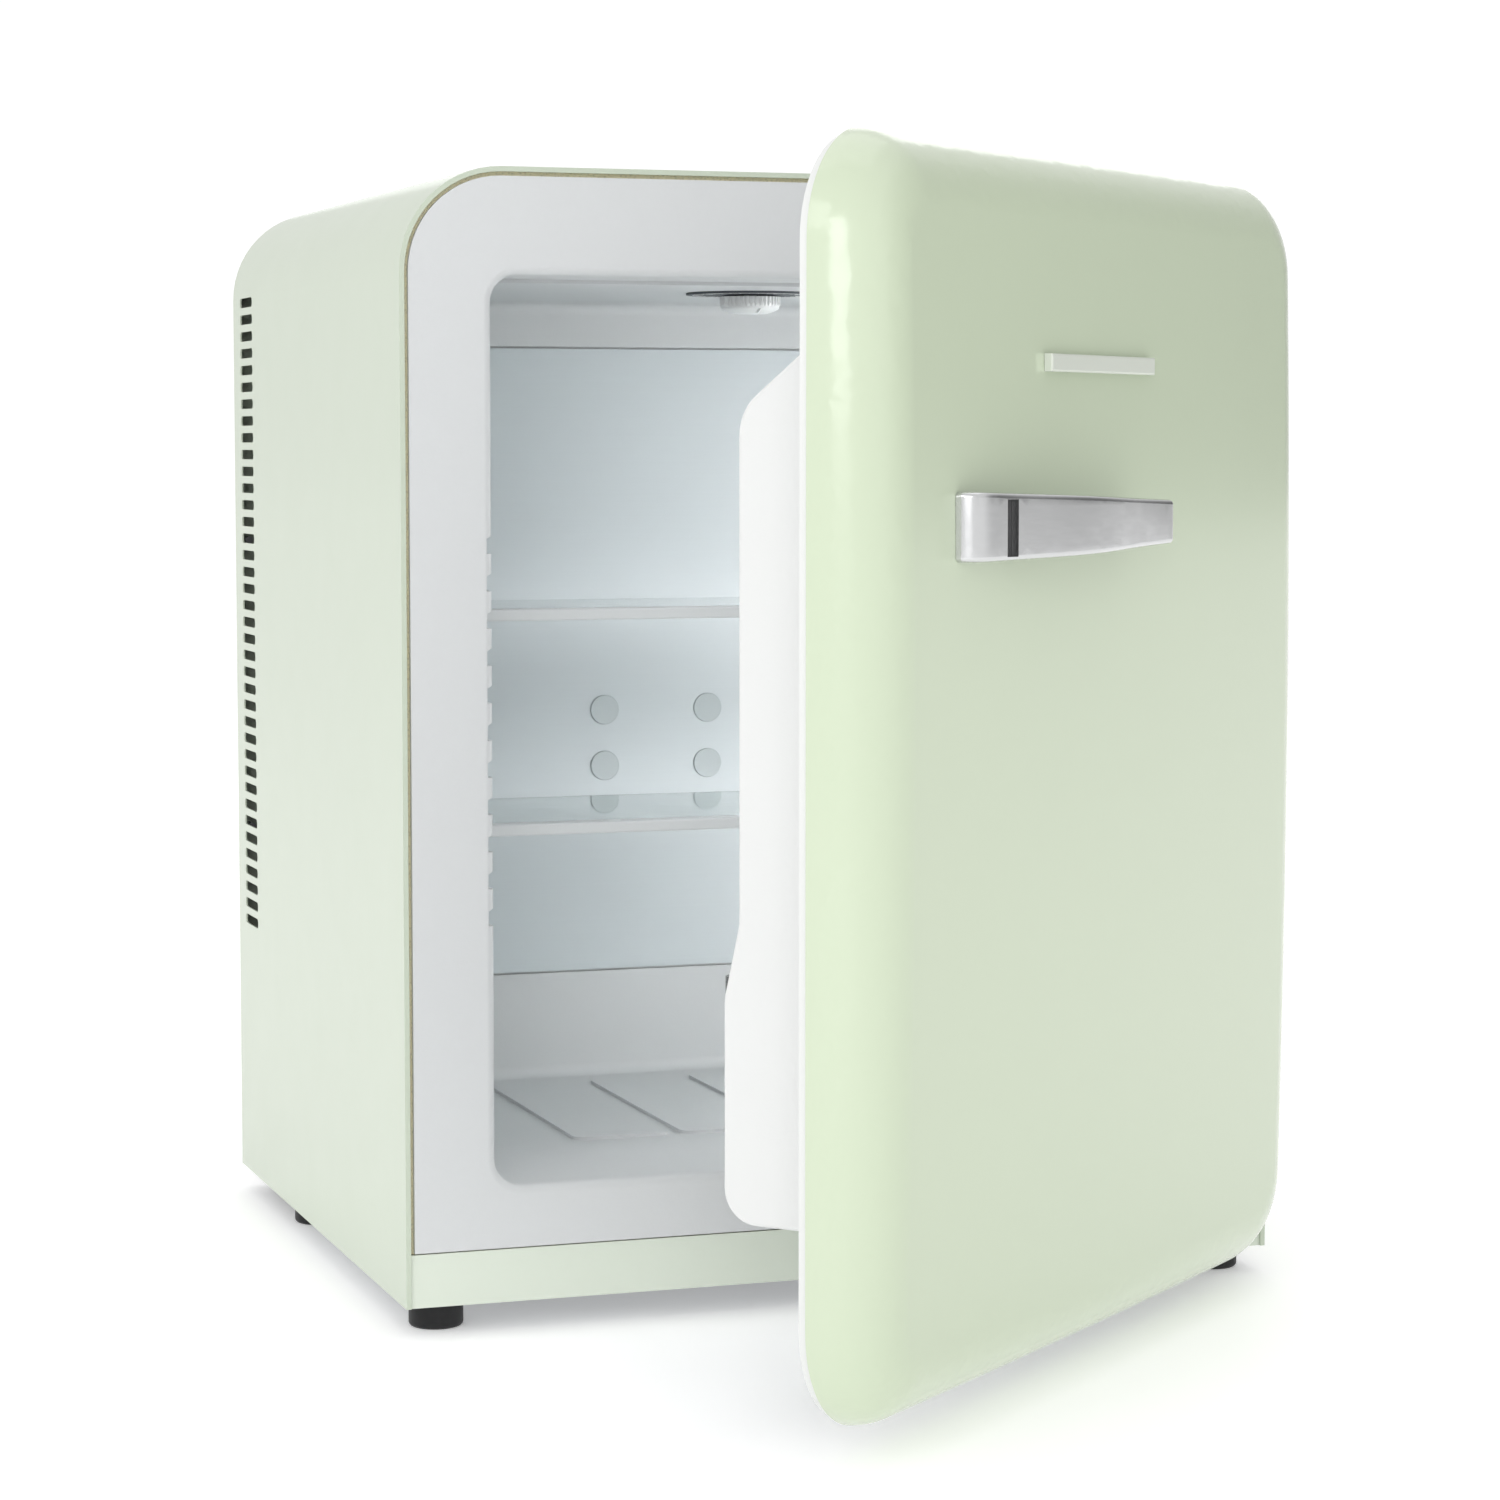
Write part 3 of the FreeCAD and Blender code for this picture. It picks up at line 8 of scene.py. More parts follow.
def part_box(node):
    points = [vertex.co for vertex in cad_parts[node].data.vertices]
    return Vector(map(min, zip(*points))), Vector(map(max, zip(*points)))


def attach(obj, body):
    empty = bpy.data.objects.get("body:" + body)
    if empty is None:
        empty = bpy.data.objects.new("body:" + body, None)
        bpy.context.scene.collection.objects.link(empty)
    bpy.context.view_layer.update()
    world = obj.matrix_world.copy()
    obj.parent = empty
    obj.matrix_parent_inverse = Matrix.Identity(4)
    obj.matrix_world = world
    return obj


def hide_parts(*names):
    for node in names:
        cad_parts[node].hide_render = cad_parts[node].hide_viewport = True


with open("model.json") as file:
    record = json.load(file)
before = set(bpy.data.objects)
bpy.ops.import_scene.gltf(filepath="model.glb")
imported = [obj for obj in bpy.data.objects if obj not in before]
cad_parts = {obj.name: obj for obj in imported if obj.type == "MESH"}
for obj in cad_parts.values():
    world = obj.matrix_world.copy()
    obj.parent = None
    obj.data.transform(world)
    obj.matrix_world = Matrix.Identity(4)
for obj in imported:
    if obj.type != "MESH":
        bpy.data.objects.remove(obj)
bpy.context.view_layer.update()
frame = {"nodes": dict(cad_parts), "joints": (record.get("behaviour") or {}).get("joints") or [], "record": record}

nodes = frame["nodes"]
print("frame loaded:", len(nodes), "nodes")


def tone(red, green, blue):
    # 8-bit screen colour to the linear values that shaders use
    values = []
    for channel in (red, green, blue):
        share = channel / 255
        values.append(share / 12.92 if share <= 0.04045 else ((share + 0.055) / 1.055) ** 2.4)
    return (*values, 1.0)


def dimmer(colour, share):
    return tuple(level * share for level in colour[:3]) + (1.0,)


white = (1.0, 1.0, 1.0, 1.0)


# Node work, shared by the materials and the Geometry Nodes trees

class Signal:
    def __init__(self, bench, socket):
        self.bench = bench
        self.socket = socket

    def maths(self, operation, *values):
        return self.bench.make("ShaderNodeMath", {"operation": operation}, dict(enumerate(values)))

    def __add__(self, other):
        return self.maths("ADD", self, other)

    def __radd__(self, other):
        return self.maths("ADD", other, self)

    def __sub__(self, other):
        return self.maths("SUBTRACT", self, other)

    def __rsub__(self, other):
        return self.maths("SUBTRACT", other, self)

    def __mul__(self, other):
        return self.maths("MULTIPLY", self, other)

    def __rmul__(self, other):
        return self.maths("MULTIPLY", other, self)

    def __truediv__(self, other):
        return self.maths("DIVIDE", self, other)

    def atMost(self, other):
        return self.maths("MINIMUM", self, other)

    def over(self, limit):
        return self.maths("GREATER_THAN", self, limit)


class Bench:
    def __init__(self, tree):
        self.tree = tree

    def make(self, kind, settings=None, sockets=None, output=0):
        # a node with its settings and its sockets' values or links; gives one of its outputs, or none
        node = self.tree.nodes.new(kind)
        for key, value in (settings or {}).items():
            if key == "stops":
                ramp = node.color_ramp
                ramp.elements[0].position, ramp.elements[0].color = value[0]
                ramp.elements[1].position, ramp.elements[1].color = value[-1]
                for position, colour in value[1:-1]:
                    ramp.elements.new(position).color = colour
            else:
                setattr(node, key, value)
        for key, value in (sockets or {}).items():
            if isinstance(value, Signal):
                self.tree.links.new(value.socket, node.inputs[key])
            elif isinstance(value, (list, tuple)) and value and isinstance(value[0], Signal):
                for signal in value:
                    self.tree.links.new(signal.socket, node.inputs[key])
            else:
                node.inputs[key].default_value = value
        return None if output is None else Signal(self, node.outputs[output])


class Finish(Bench):
    # where the colour sockets of a mix node lie among its inputs and outputs
    mixFactor = 0
    mixFirst = 6
    mixSecond = 7
    mixResult = 2

    def __init__(self, name, constants):
        self.material = bpy.data.materials.new(name)
        self.material.use_nodes = True
        super().__init__(self.material.node_tree)
        self.tree.nodes.clear()
        ending = self.tree.nodes.new("ShaderNodeOutputMaterial")
        self.shader = self.tree.nodes.new("ShaderNodeBsdfPrincipled")
        self.tree.links.new(self.shader.outputs[0], ending.inputs["Surface"])
        for socket, value in constants.items():
            self.shader.inputs[socket].default_value = value
        self.place = self.make("ShaderNodeTexCoord", output="Object")
        self.bumps = None

    def stretched(self, factors):
        return self.make("ShaderNodeVectorMath", {"operation": "MULTIPLY"}, {0: self.place, 1: factors})

    def noise(self, scale, detail=2.0, at=None, roughness=0.5):
        sockets = {"Vector": at or self.place, "Scale": scale, "Detail": detail, "Roughness": roughness}
        return self.make("ShaderNodeTexNoise", None, sockets)

    def cells(self, scale, feature="F1", output="Distance"):
        sockets = {"Vector": self.place, "Scale": scale}
        return self.make("ShaderNodeTexVoronoi", {"feature": feature}, sockets, output)

    def ramp(self, factor, stops):
        grey = [(position, (level, level, level, 1.0)) for position, level in stops]
        return self.make("ShaderNodeValToRGB", {"stops": grey}, {0: factor})

    def blend(self, factor, first, second):
        sockets = {self.mixFactor: factor, self.mixFirst: first, self.mixSecond: second}
        return self.make("ShaderNodeMix", {"data_type": "RGBA"}, sockets, output=self.mixResult)

    def press(self, height, depth, strength=1.0):
        # one more layer of relief; depth is in metres
        sockets = {"Height": height, "Distance": depth, "Strength": strength}
        if self.bumps is not None:
            sockets["Normal"] = self.bumps
        self.bumps = self.make("ShaderNodeBump", None, sockets)
        self.tree.links.new(self.bumps.socket, self.shader.inputs["Normal"])

    def drive(self, **signals):
        for name, signal in signals.items():
            socket = {"colour": "Base Color", "roughness": "Roughness"}[name]
            self.tree.links.new(signal.socket, self.shader.inputs[socket])


def dress(material, *names):
    for name in names:
        for place in nodes[name].material_slots:
            place.material = material


# Camera

cameraLook = {"place": (-0.5885, -1.7551, 0.3844), "tilt": 85.397, "turn": -18.907, "lens": 91.3, "film": 36.0}


def setCamera(look):
    data = bpy.data.cameras.new("camera")
    data.lens = look["lens"]
    data.sensor_width = look["film"]
    camera = bpy.data.objects.new("camera", data)
    camera.location = look["place"]
    camera.rotation_euler = (math.radians(look["tilt"]), 0, math.radians(look["turn"]))
    bpy.context.scene.collection.objects.link(camera)
    bpy.context.scene.camera = camera


setCamera(cameraLook)
print("camera set")


# Floor and light

studio = {"floorReach": 30.0, "floorTone": tone(252, 252, 252), "floorRoughness": 0.7, "floorShine": 0.25,
          "floorLift": 0.24, "mottleScale": 3.0, "mottleShare": 0.985, "backdropStrength": 1.05,
          "brightSky": 0.88, "dimSky": 0.2, "dimFrom": 0.55, "dimTo": 0.97}
lamps = [
    {"name": "keyLight", "place": (-2.4, -2.3, 1.9), "aim": (0, -0.05, 0.25), "width": 1.6, "power": 12},
    {"name": "cavityLight", "place": (-0.9, -2.4, 0.9), "aim": (0, 0.0, 0.28), "width": 0.9, "power": 9},
    {"name": "insideLight", "place": (0.14, -0.13, 0.26), "aim": (-0.08, 0.09, 0.26), "width": 0.05,
     "height": 0.34, "power": 0.62},
    {"name": "topLight", "place": (0.1, 0.3, 2.9), "aim": (0, 0, 0.4), "width": 2.4, "power": 8},
    {"name": "rearLight", "place": (1.2, 2.8, 1.7), "aim": (0, 0, 0.25), "width": 2.0, "power": 10},
]


def makeFloor(look):
    mesh = bpy.data.meshes.new("floor")
    floorBuild = bmesh.new()
    bmesh.ops.create_grid(floorBuild, x_segments=1, y_segments=1, size=look["floorReach"])
    floorBuild.to_mesh(mesh)
    floorBuild.free()
    floor = bpy.data.objects.new("floor", mesh)
    bpy.context.scene.collection.objects.link(floor)
    finish = Finish("floorPaper", {"Roughness": look["floorRoughness"],
                                   "Specular IOR Level": look["floorShine"],
                                   "Emission Color": white, "Emission Strength": look["floorLift"]})
    mottle = finish.noise(look["mottleScale"], detail=3.0)
    finish.drive(colour=finish.blend(mottle, look["floorTone"], dimmer(look["floorTone"], look["mottleShare"])))
    mesh.materials.append(finish.material)


def makeLamp(look):
    data = bpy.data.lights.new(look["name"], "AREA")
    data.size = look["width"]
    if "height" in look:
        data.shape = "RECTANGLE"
        data.size_y = look["height"]
    data.energy = look["power"]
    lamp = bpy.data.objects.new(look["name"], data)
    lamp.location = look["place"]
    aim = Vector(look["aim"]) - Vector(look["place"])
    lamp.rotation_euler = aim.to_track_quat("-Z", "Y").to_euler()
    lamp.visible_camera = False
    bpy.context.scene.collection.objects.link(lamp)


def makeSky(look):
    # a white backdrop, and for the light a sky that dims towards one side, which shapes the glossy faces
    sky = bpy.data.worlds.new("sky")
    sky.use_nodes = True
    sky.node_tree.nodes.clear()
    bench = Bench(sky.node_tree)
    direction = bench.make("ShaderNodeTexCoord", output="Generated")
    sideways = bench.make("ShaderNodeSeparateXYZ", None, {0: direction}, output="X")
    level = bench.make("ShaderNodeMapRange", {"interpolation_type": "SMOOTHSTEP"},
                       {"Value": sideways, "From Min": look["dimFrom"], "From Max": look["dimTo"],
                        "To Min": look["brightSky"], "To Max": look["dimSky"]})
    lit = bench.make("ShaderNodeBackground", None, {"Color": white, "Strength": level})
    backdrop = bench.make("ShaderNodeBackground", None, {"Color": white, "Strength": look["backdropStrength"]})
    seen = bench.make("ShaderNodeLightPath", output="Is Camera Ray")
    mixed = bench.make("ShaderNodeMixShader", None, {0: seen, 1: lit, 2: backdrop})
    bench.make("ShaderNodeOutputWorld", None, {"Surface": mixed}, output=None)
    return sky


makeFloor(studio)
for lampLook in lamps:
    makeLamp(lampLook)
bpy.context.scene.world = makeSky(studio)
bpy.context.scene.view_settings.view_transform = "Standard"
print("floor and light set")


# Finishes

enamel = {"shine": 0.5, "coatRoughness": 0.12, "driftScale": 5.0, "driftShare": 0.7, "speckleScale": 420.0,
          "speckleShare": 0.3, "patchScale": 38.0, "patchDulling": 0.09, "polish": 0.03, "peelDepth": 0.00006}


def paintedSteel(name, look):
    # baked enamel: faint orange peel, slow colour drift and a few dull patches
    finish = Finish(name, {"Specular IOR Level": enamel["shine"], "Coat Weight": look["coat"],
                           "Coat Roughness": enamel["coatRoughness"]})
    drift = finish.noise(enamel["driftScale"], detail=3.0)
    speckle = finish.noise(enamel["speckleScale"], detail=2.0)
    patches = finish.noise(enamel["patchScale"], detail=4.0, roughness=0.6)
    mask = (drift * enamel["driftShare"] + speckle * enamel["speckleShare"]).atMost(1.0)
    finish.drive(
        colour=finish.blend(mask, look["tone"], dimmer(look["tone"], look["drift"])),
        roughness=look["roughness"] + enamel["patchDulling"] * patches - enamel["polish"],
    )
    finish.press(finish.noise(look["peel"], detail=1.5), enamel["peelDepth"], look["peelStrength"])
    return finish.material


moulding = {"shine": 0.45, "driftScale": 9.0, "driftShare": 0.65, "mottleRatio": 0.4, "mottleShare": 0.35,
            "grainDulling": 0.12, "wearScale": 60.0, "wearDulling": 0.05, "grainDepth": 0.00012}


def mouldedPlastic(name, look):
    # pebbled moulding with slow tone drift; the grain dulls the gloss where it is deeper
    finish = Finish(name, {"Specular IOR Level": moulding["shine"]})
    drift = finish.noise(moulding["driftScale"], detail=3.0)
    grain = finish.cells(look["grain"], "SMOOTH_F1")
    mottle = finish.noise(look["grain"] * moulding["mottleRatio"], detail=2.0)
    wear = finish.noise(moulding["wearScale"], detail=3.0)
    mask = (moulding["driftShare"] * drift + moulding["mottleShare"] * mottle).atMost(1.0)
    finish.drive(
        colour=finish.blend(mask, look["tone"], dimmer(look["tone"], look["drift"])),
        roughness=look["roughness"] + moulding["grainDulling"] * grain + moulding["wearDulling"] * wear,
    )
    finish.press(grain, moulding["grainDepth"], look["grainStrength"])
    return finish.material


brushing = {"shine": 0.5, "cloudScale": 24.0, "lineShare": 0.6, "cloudShare": 0.4, "lineDulling": 0.14,
            "cloudDulling": 0.08, "polish": 0.08, "lineDepth": 0.00003}


def brushedMetal(name, look):
    # fine lines along one axis, with cloudy handling marks
    finish = Finish(name, {"Metallic": look["metal"], "Specular IOR Level": brushing["shine"]})
    lines = finish.noise(1.0, detail=3.0, at=finish.stretched(look["lines"]), roughness=0.65)
    clouds = finish.noise(brushing["cloudScale"], detail=4.0, roughness=0.6)
    mask = (brushing["lineShare"] * lines + brushing["cloudShare"] * clouds).atMost(1.0)
    dulling = brushing["lineDulling"] * lines + brushing["cloudDulling"] * clouds - brushing["polish"]
    finish.drive(
        colour=finish.blend(mask, look["tone"], dimmer(look["tone"], look["drift"])),
        roughness=look["roughness"] + dulling,
    )
    finish.press(lines, brushing["lineDepth"], look["lineStrength"])
    return finish.material


rubber = {"shine": 0.3, "sheen": 0.15, "sheenRoughness": 0.5, "bloomScale": 30.0, "bloomFrom": 0.4,
          "bloomTo": 0.75,
          "bloomLift": 0.004, "bloomDulling": 0.15, "grainScale": 1500.0, "grainDepth": 0.00005,
          "grainStrength": 0.5}


def softRubber(name, look):
    # matt rubber with a pale bloom in patches
    finish = Finish(name, {"Specular IOR Level": rubber["shine"], "Sheen Weight": rubber["sheen"],
                           "Sheen Roughness": rubber["sheenRoughness"]})
    bloom = finish.noise(rubber["bloomScale"], detail=4.0, roughness=0.6)
    patches = finish.ramp(bloom, [(rubber["bloomFrom"], 0.0), (rubber["bloomTo"], 1.0)])
    paler = [min(1.0, level * look["bloom"] + rubber["bloomLift"]) for level in look["tone"][:3]]
    finish.drive(
        colour=finish.blend(patches, look["tone"], (*paler, 1.0)),
        roughness=look["roughness"] + rubber["bloomDulling"] * bloom,
    )
    finish.press(finish.noise(rubber["grainScale"], detail=2.0), rubber["grainDepth"], rubber["grainStrength"])
    return finish.material


sheet = {"shine": 0.5, "wipes": (30.0, 9.0, 30.0), "wipesFrom": 0.45, "wipesTo": 0.8, "wipeDulling": 0.07,
         "waveScale": 55.0, "waveDepth": 0.00004, "waveStrength": 0.4}


def clearSheet(name, look):
    # see-through sheet: faint wipe marks in the gloss
    finish = Finish(name, {"Base Color": look["tone"], "Transmission Weight": look["clear"], "IOR": look["ior"],
                           "Specular IOR Level": sheet["shine"]})
    wipes = finish.noise(1.0, detail=4.0, at=finish.stretched(sheet["wipes"]), roughness=0.65)
    streaks = finish.ramp(wipes, [(sheet["wipesFrom"], 0.0), (sheet["wipesTo"], 1.0)])
    finish.drive(roughness=look["roughness"] + sheet["wipeDulling"] * streaks)
    finish.press(finish.noise(sheet["waveScale"], detail=1.0), sheet["waveDepth"], sheet["waveStrength"])
    return finish.material


zinc = {"metal": 0.9, "shadeDulling": 0.2, "pitScale": 200.0, "pitDepth": 0.00004, "pitStrength": 0.3}


def zincSheet(name, look):
    # hot-dip zinc: crystals of differing shade
    finish = Finish(name, {"Metallic": zinc["metal"]})
    crystals = finish.cells(look["crystals"], output="Color")
    shade = finish.make("ShaderNodeSeparateColor", None, {0: crystals}, output=0)
    finish.drive(
        colour=finish.blend(shade, look["tone"], dimmer(look["tone"], look["drift"])),
        roughness=look["roughness"] + zinc["shadeDulling"] * shade,
    )
    finish.press(finish.noise(zinc["pitScale"], detail=2.0), zinc["pitDepth"], zinc["pitStrength"])
    return finish.material


foam = {"softness": 0.1, "roughness": 0.8, "poreFrom": 0.1, "poreTo": 0.5, "patchScale": 40.0,
        "patchDulling": 0.15,
        "poreDepth": 0.0003, "poreStrength": 0.8}


def foamBlock(name, look):
    # open pores, with painted shade darkening their middles
    finish = Finish(name, {"Subsurface Weight": foam["softness"]})
    pores = finish.cells(look["pores"])
    poreShade = finish.ramp(pores, [(foam["poreFrom"], 1.0), (foam["poreTo"], 0.0)])
    patches = finish.noise(foam["patchScale"], detail=3.0)
    finish.drive(
        colour=finish.blend(poreShade, look["tone"], dimmer(look["tone"], look["drift"])),
        roughness=foam["roughness"] + foam["patchDulling"] * patches,
    )
    finish.press(pores, foam["poreDepth"], foam["poreStrength"])
    return finish.material


lacquer = {"shine": 0.5, "roughness": 0.3, "trackFrom": 0.04, "trackTo": 0.07, "patchScale": 90.0,
           "patchDulling": 0.1, "trackDepth": 0.00003, "trackStrength": 0.4}


def circuitBoard(name, look):
    # lacquered board with a net of tracks
    finish = Finish(name, {"Specular IOR Level": lacquer["shine"]})
    tracks = finish.cells(look["tracks"], "DISTANCE_TO_EDGE")
    net = finish.ramp(tracks, [(lacquer["trackFrom"], 1.0), (lacquer["trackTo"], 0.0)])
    patches = finish.noise(lacquer["patchScale"], detail=3.0)
    finish.drive(
        colour=finish.blend(net, look["tone"], look["trackTone"]),
        roughness=lacquer["roughness"] + lacquer["patchDulling"] * patches,
    )
    finish.press(tracks, lacquer["trackDepth"], lacquer["trackStrength"])
    return finish.material


cabinetLook = {"tone": tone(198, 208, 190), "drift": 0.965, "roughness": 0.34, "peel": 620.0,
               "peelStrength": 0.5, "coat": 0.25}
plinthLook = {"tone": tone(220, 228, 214), "drift": 0.965, "roughness": 0.32, "peel": 620.0,
              "peelStrength": 0.5, "coat": 0.25}
doorLook = {"tone": tone(200, 212, 186), "drift": 0.975, "roughness": 0.2, "peel": 300.0, "peelStrength": 0.3,
            "coat": 0.6}
dress(paintedSteel("cabinetPaint", cabinetLook), "outer_shell")
dress(paintedSteel("plinthPaint", plinthLook), "front_plinth")
dress(paintedSteel("doorPaint", doorLook), "door_outer_skin")

linerLook = {"tone": tone(214, 216, 217), "drift": 0.96, "roughness": 0.36, "grain": 900.0,
             "grainStrength": 0.35}
doorLinerLook = {"tone": tone(225, 226, 225), "drift": 0.97, "roughness": 0.3, "grain": 1100.0,
                 "grainStrength": 0.15}
trimLook = {"tone": tone(220, 223, 224), "drift": 0.97, "roughness": 0.28, "grain": 1400.0,
            "grainStrength": 0.1}
knobLook = {"tone": tone(238, 240, 240), "drift": 0.96, "roughness": 0.3, "grain": 1400.0, "grainStrength": 0.1}
capLook = {"tone": tone(196, 204, 206), "drift": 0.94, "roughness": 0.45, "grain": 1600.0,
           "grainStrength": 0.25}
dialLook = {"tone": tone(72, 76, 82), "drift": 0.85, "roughness": 0.4, "grain": 1600.0, "grainStrength": 0.25}
greyLook = {"tone": tone(120, 122, 124), "drift": 0.9, "roughness": 0.5, "grain": 900.0, "grainStrength": 0.4}
blackLook = {"tone": tone(30, 30, 32), "drift": 0.8, "roughness": 0.42, "grain": 800.0, "grainStrength": 0.5}
fanLook = {"tone": tone(34, 34, 36), "drift": 0.8, "roughness": 0.38, "grain": 1200.0, "grainStrength": 0.3}
dress(mouldedPlastic("linerPlastic", linerLook), "inner_liner")
dress(mouldedPlastic("doorLinerPlastic", doorLinerLook), "door_inner_liner")
dress(mouldedPlastic("trimPlastic", trimLook), "upper_shelf_trim", "lower_shelf_trim")
dress(mouldedPlastic("knobPlastic", knobLook), "thermostat_knob")
dress(mouldedPlastic("capPlastic", capLook), "panel_screw_caps")
dress(mouldedPlastic("dialPlastic", dialLook), "thermostat_scale_plate")
dress(mouldedPlastic("greyPlastic", greyLook), "thermostat_body", "hinge_block_upper", "hinge_block_lower",
      "foam_back_sheet")
dress(mouldedPlastic("blackPlastic", blackLook), "rear_base_plate", "power_inlet", "handle_insert")
dress(mouldedPlastic("fanPlastic", fanLook), "fan_frame", "fan_rotor")

chromeLook = {"tone": (0.66, 0.665, 0.67, 1.0), "drift": 0.95, "roughness": 0.16, "lines": (90.0, 90.0, 400.0),
              "lineStrength": 0.05, "metal": 1.0}
plateLook = {"tone": tone(214, 221, 224), "drift": 0.93, "roughness": 0.36, "lines": (14.0, 900.0, 2200.0),
             "lineStrength": 0.3, "metal": 0.0}
sinkLook = {"tone": tone(206, 207, 209), "drift": 0.85, "roughness": 0.3, "lines": (900.0, 900.0, 20.0),
            "lineStrength": 0.3, "metal": 1.0}
steelLook = {"tone": tone(196, 197, 198), "drift": 0.8, "roughness": 0.3, "lines": (700.0, 700.0, 700.0),
             "lineStrength": 0.3, "metal": 1.0}
# the badge bar is chrome: its light, nearly unmetallic tone is a painted reflection of its bright gloss
barReflectionLook = {"tone": tone(216, 221, 211), "drift": 0.97, "roughness": 0.3, "lines": (90.0, 90.0, 400.0),
           "lineStrength": 0.02, "metal": 0.15}
dress(brushedMetal("handleChrome", chromeLook), "handle_lever")
dress(brushedMetal("barSatin", barReflectionLook), "badge_bar")
dress(brushedMetal("coldAluminium", plateLook), "cold_plate")
dress(brushedMetal("sinkAluminium", sinkLook), "hot_sink", "cold_block")
dress(brushedMetal("screwSteel", steelLook), "panel_screws", "module_clamp_screws", "fan_screws",
      "rear_cover_screws", "hinge_screws", "foot_screws", "handle_screws", "hinge_pin_upper", "hinge_pin_lower")

hingeLook = {"tone": tone(214, 216, 215), "drift": 0.93, "roughness": 0.35, "peel": 700.0, "peelStrength": 0.4,
             "coat": 0.1}
coverLook = {"tone": tone(52, 53, 55), "drift": 0.85, "roughness": 0.5, "peel": 900.0, "peelStrength": 0.9,
             "coat": 0.0}
supplyLook = {"tone": tone(150, 152, 154), "drift": 0.9, "roughness": 0.45, "peel": 800.0, "peelStrength": 0.5,
              "coat": 0.0}
dress(paintedSteel("hingePaint", hingeLook), "hinge_bracket_upper", "hinge_bracket_lower")
dress(paintedSteel("coverPaint", coverLook), "rear_cover")
dress(paintedSteel("supplyPaint", supplyLook), "power_supply")

footLook = {"tone": tone(30, 30, 31), "bloom": 2.2, "roughness": 0.62}
sealRubberLook = {"tone": tone(205, 208, 208), "bloom": 0.88, "roughness": 0.5}
dress(softRubber("footRubber", footLook), "foot_front_left", "foot_front_right", "foot_rear_left",
      "foot_rear_right")
sealRubber = softRubber("sealRubber", sealRubberLook)
dress(sealRubber, "door_gasket")

glassLook = {"tone": (0.93, 0.985, 0.965, 1.0), "clear": 1.0, "ior": 1.5, "roughness": 0.02}
rackLook = {"tone": (0.93, 0.965, 0.975, 1.0), "clear": 0.95, "ior": 1.45, "roughness": 0.06}
dress(clearSheet("shelfGlass", glassLook), "upper_shelf_glass", "lower_shelf_glass")
dress(clearSheet("rackPlastic", rackLook), "door_rack_upper", "door_rack_lower")

zincLook = {"tone": tone(186, 190, 193), "drift": 0.75, "crystals": 90.0, "roughness": 0.35}
# for the foam, drift sets how dark the painted shade in the pores is
foamLook = {"tone": tone(236, 226, 190), "drift": 0.8, "pores": 700.0}
boardLook = {"tone": tone(28, 92, 52), "trackTone": tone(60, 140, 84), "tracks": 220.0}
ceramicLook = {"tone": tone(240, 239, 234), "drift": 0.95, "roughness": 0.35, "grain": 2200.0,
               "grainStrength": 0.15}
dress(zincSheet("zincSteel", zincLook), "base_pan", "hinge_backing_plates")
dress(foamBlock("wallFoam", foamLook), "cabinet_foam", "door_foam")
dress(circuitBoard("boardResin", boardLook), "control_board")
dress(mouldedPlastic("moduleCeramic", ceramicLook), "peltier_module")
print("finishes made")


# Pieces

record = frame["record"]
slotOf = {entry["node"]: entry["material_slot"] for entry in record["subparts"]}
smoothing = {"sharpFrom": 32.0, "weld": 0.000005, "sliver": 0.000001, "areaWeight": 100, "grownWeld": 0.000002}


def settle(piece, body, slotName, *replaced):
    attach(piece, body)
    if replaced:
        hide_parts(*replaced)


def shadeSoft(mesh):
    mesh.shade_smooth()
    mesh.set_sharp_from_angle(angle=math.radians(smoothing["sharpFrom"]))


def smoothed(name, body, material):
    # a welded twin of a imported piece, so that gloss runs smoothly over its curved faces
    mesh = nodes[name].data.copy()
    mesh.name = name + "Smooth"
    weld = bmesh.new()
    weld.from_mesh(mesh)
    bmesh.ops.remove_doubles(weld, verts=weld.verts, dist=smoothing["weld"])
    bmesh.ops.dissolve_degenerate(weld, edges=weld.edges, dist=smoothing["sliver"])
    weld.to_mesh(mesh)
    weld.free()
    if mesh.attributes.get("custom_normal"):
        mesh.attributes.remove(mesh.attributes["custom_normal"])
    shadeSoft(mesh)
    mesh.materials.clear()
    mesh.materials.append(material)
    piece = bpy.data.objects.new(name + "Smooth", mesh)
    bpy.context.scene.collection.objects.link(piece)
    weights = piece.modifiers.new("weights", "WEIGHTED_NORMAL")
    weights.mode = "FACE_AREA"
    weights.weight = smoothing["areaWeight"]
    weights.keep_sharp = True
    ready = piece.evaluated_get(bpy.context.evaluated_depsgraph_get())
    piece.data = bpy.data.meshes.new_from_object(ready)
    piece.modifiers.clear()
    settle(piece, body, slotOf[name], name)


for name, body, material in (
    ("outer_shell", "cabinet", "cabinetPaint"),
    ("inner_liner", "cabinet", "linerPlastic"),
    ("door_outer_skin", "door", "doorPaint"),
    ("door_inner_liner", "door", "doorLinerPlastic"),
    ("handle_lever", "door", "handleChrome"),
):
    smoothed(name, body, bpy.data.materials[material])
print("smooth twins made")


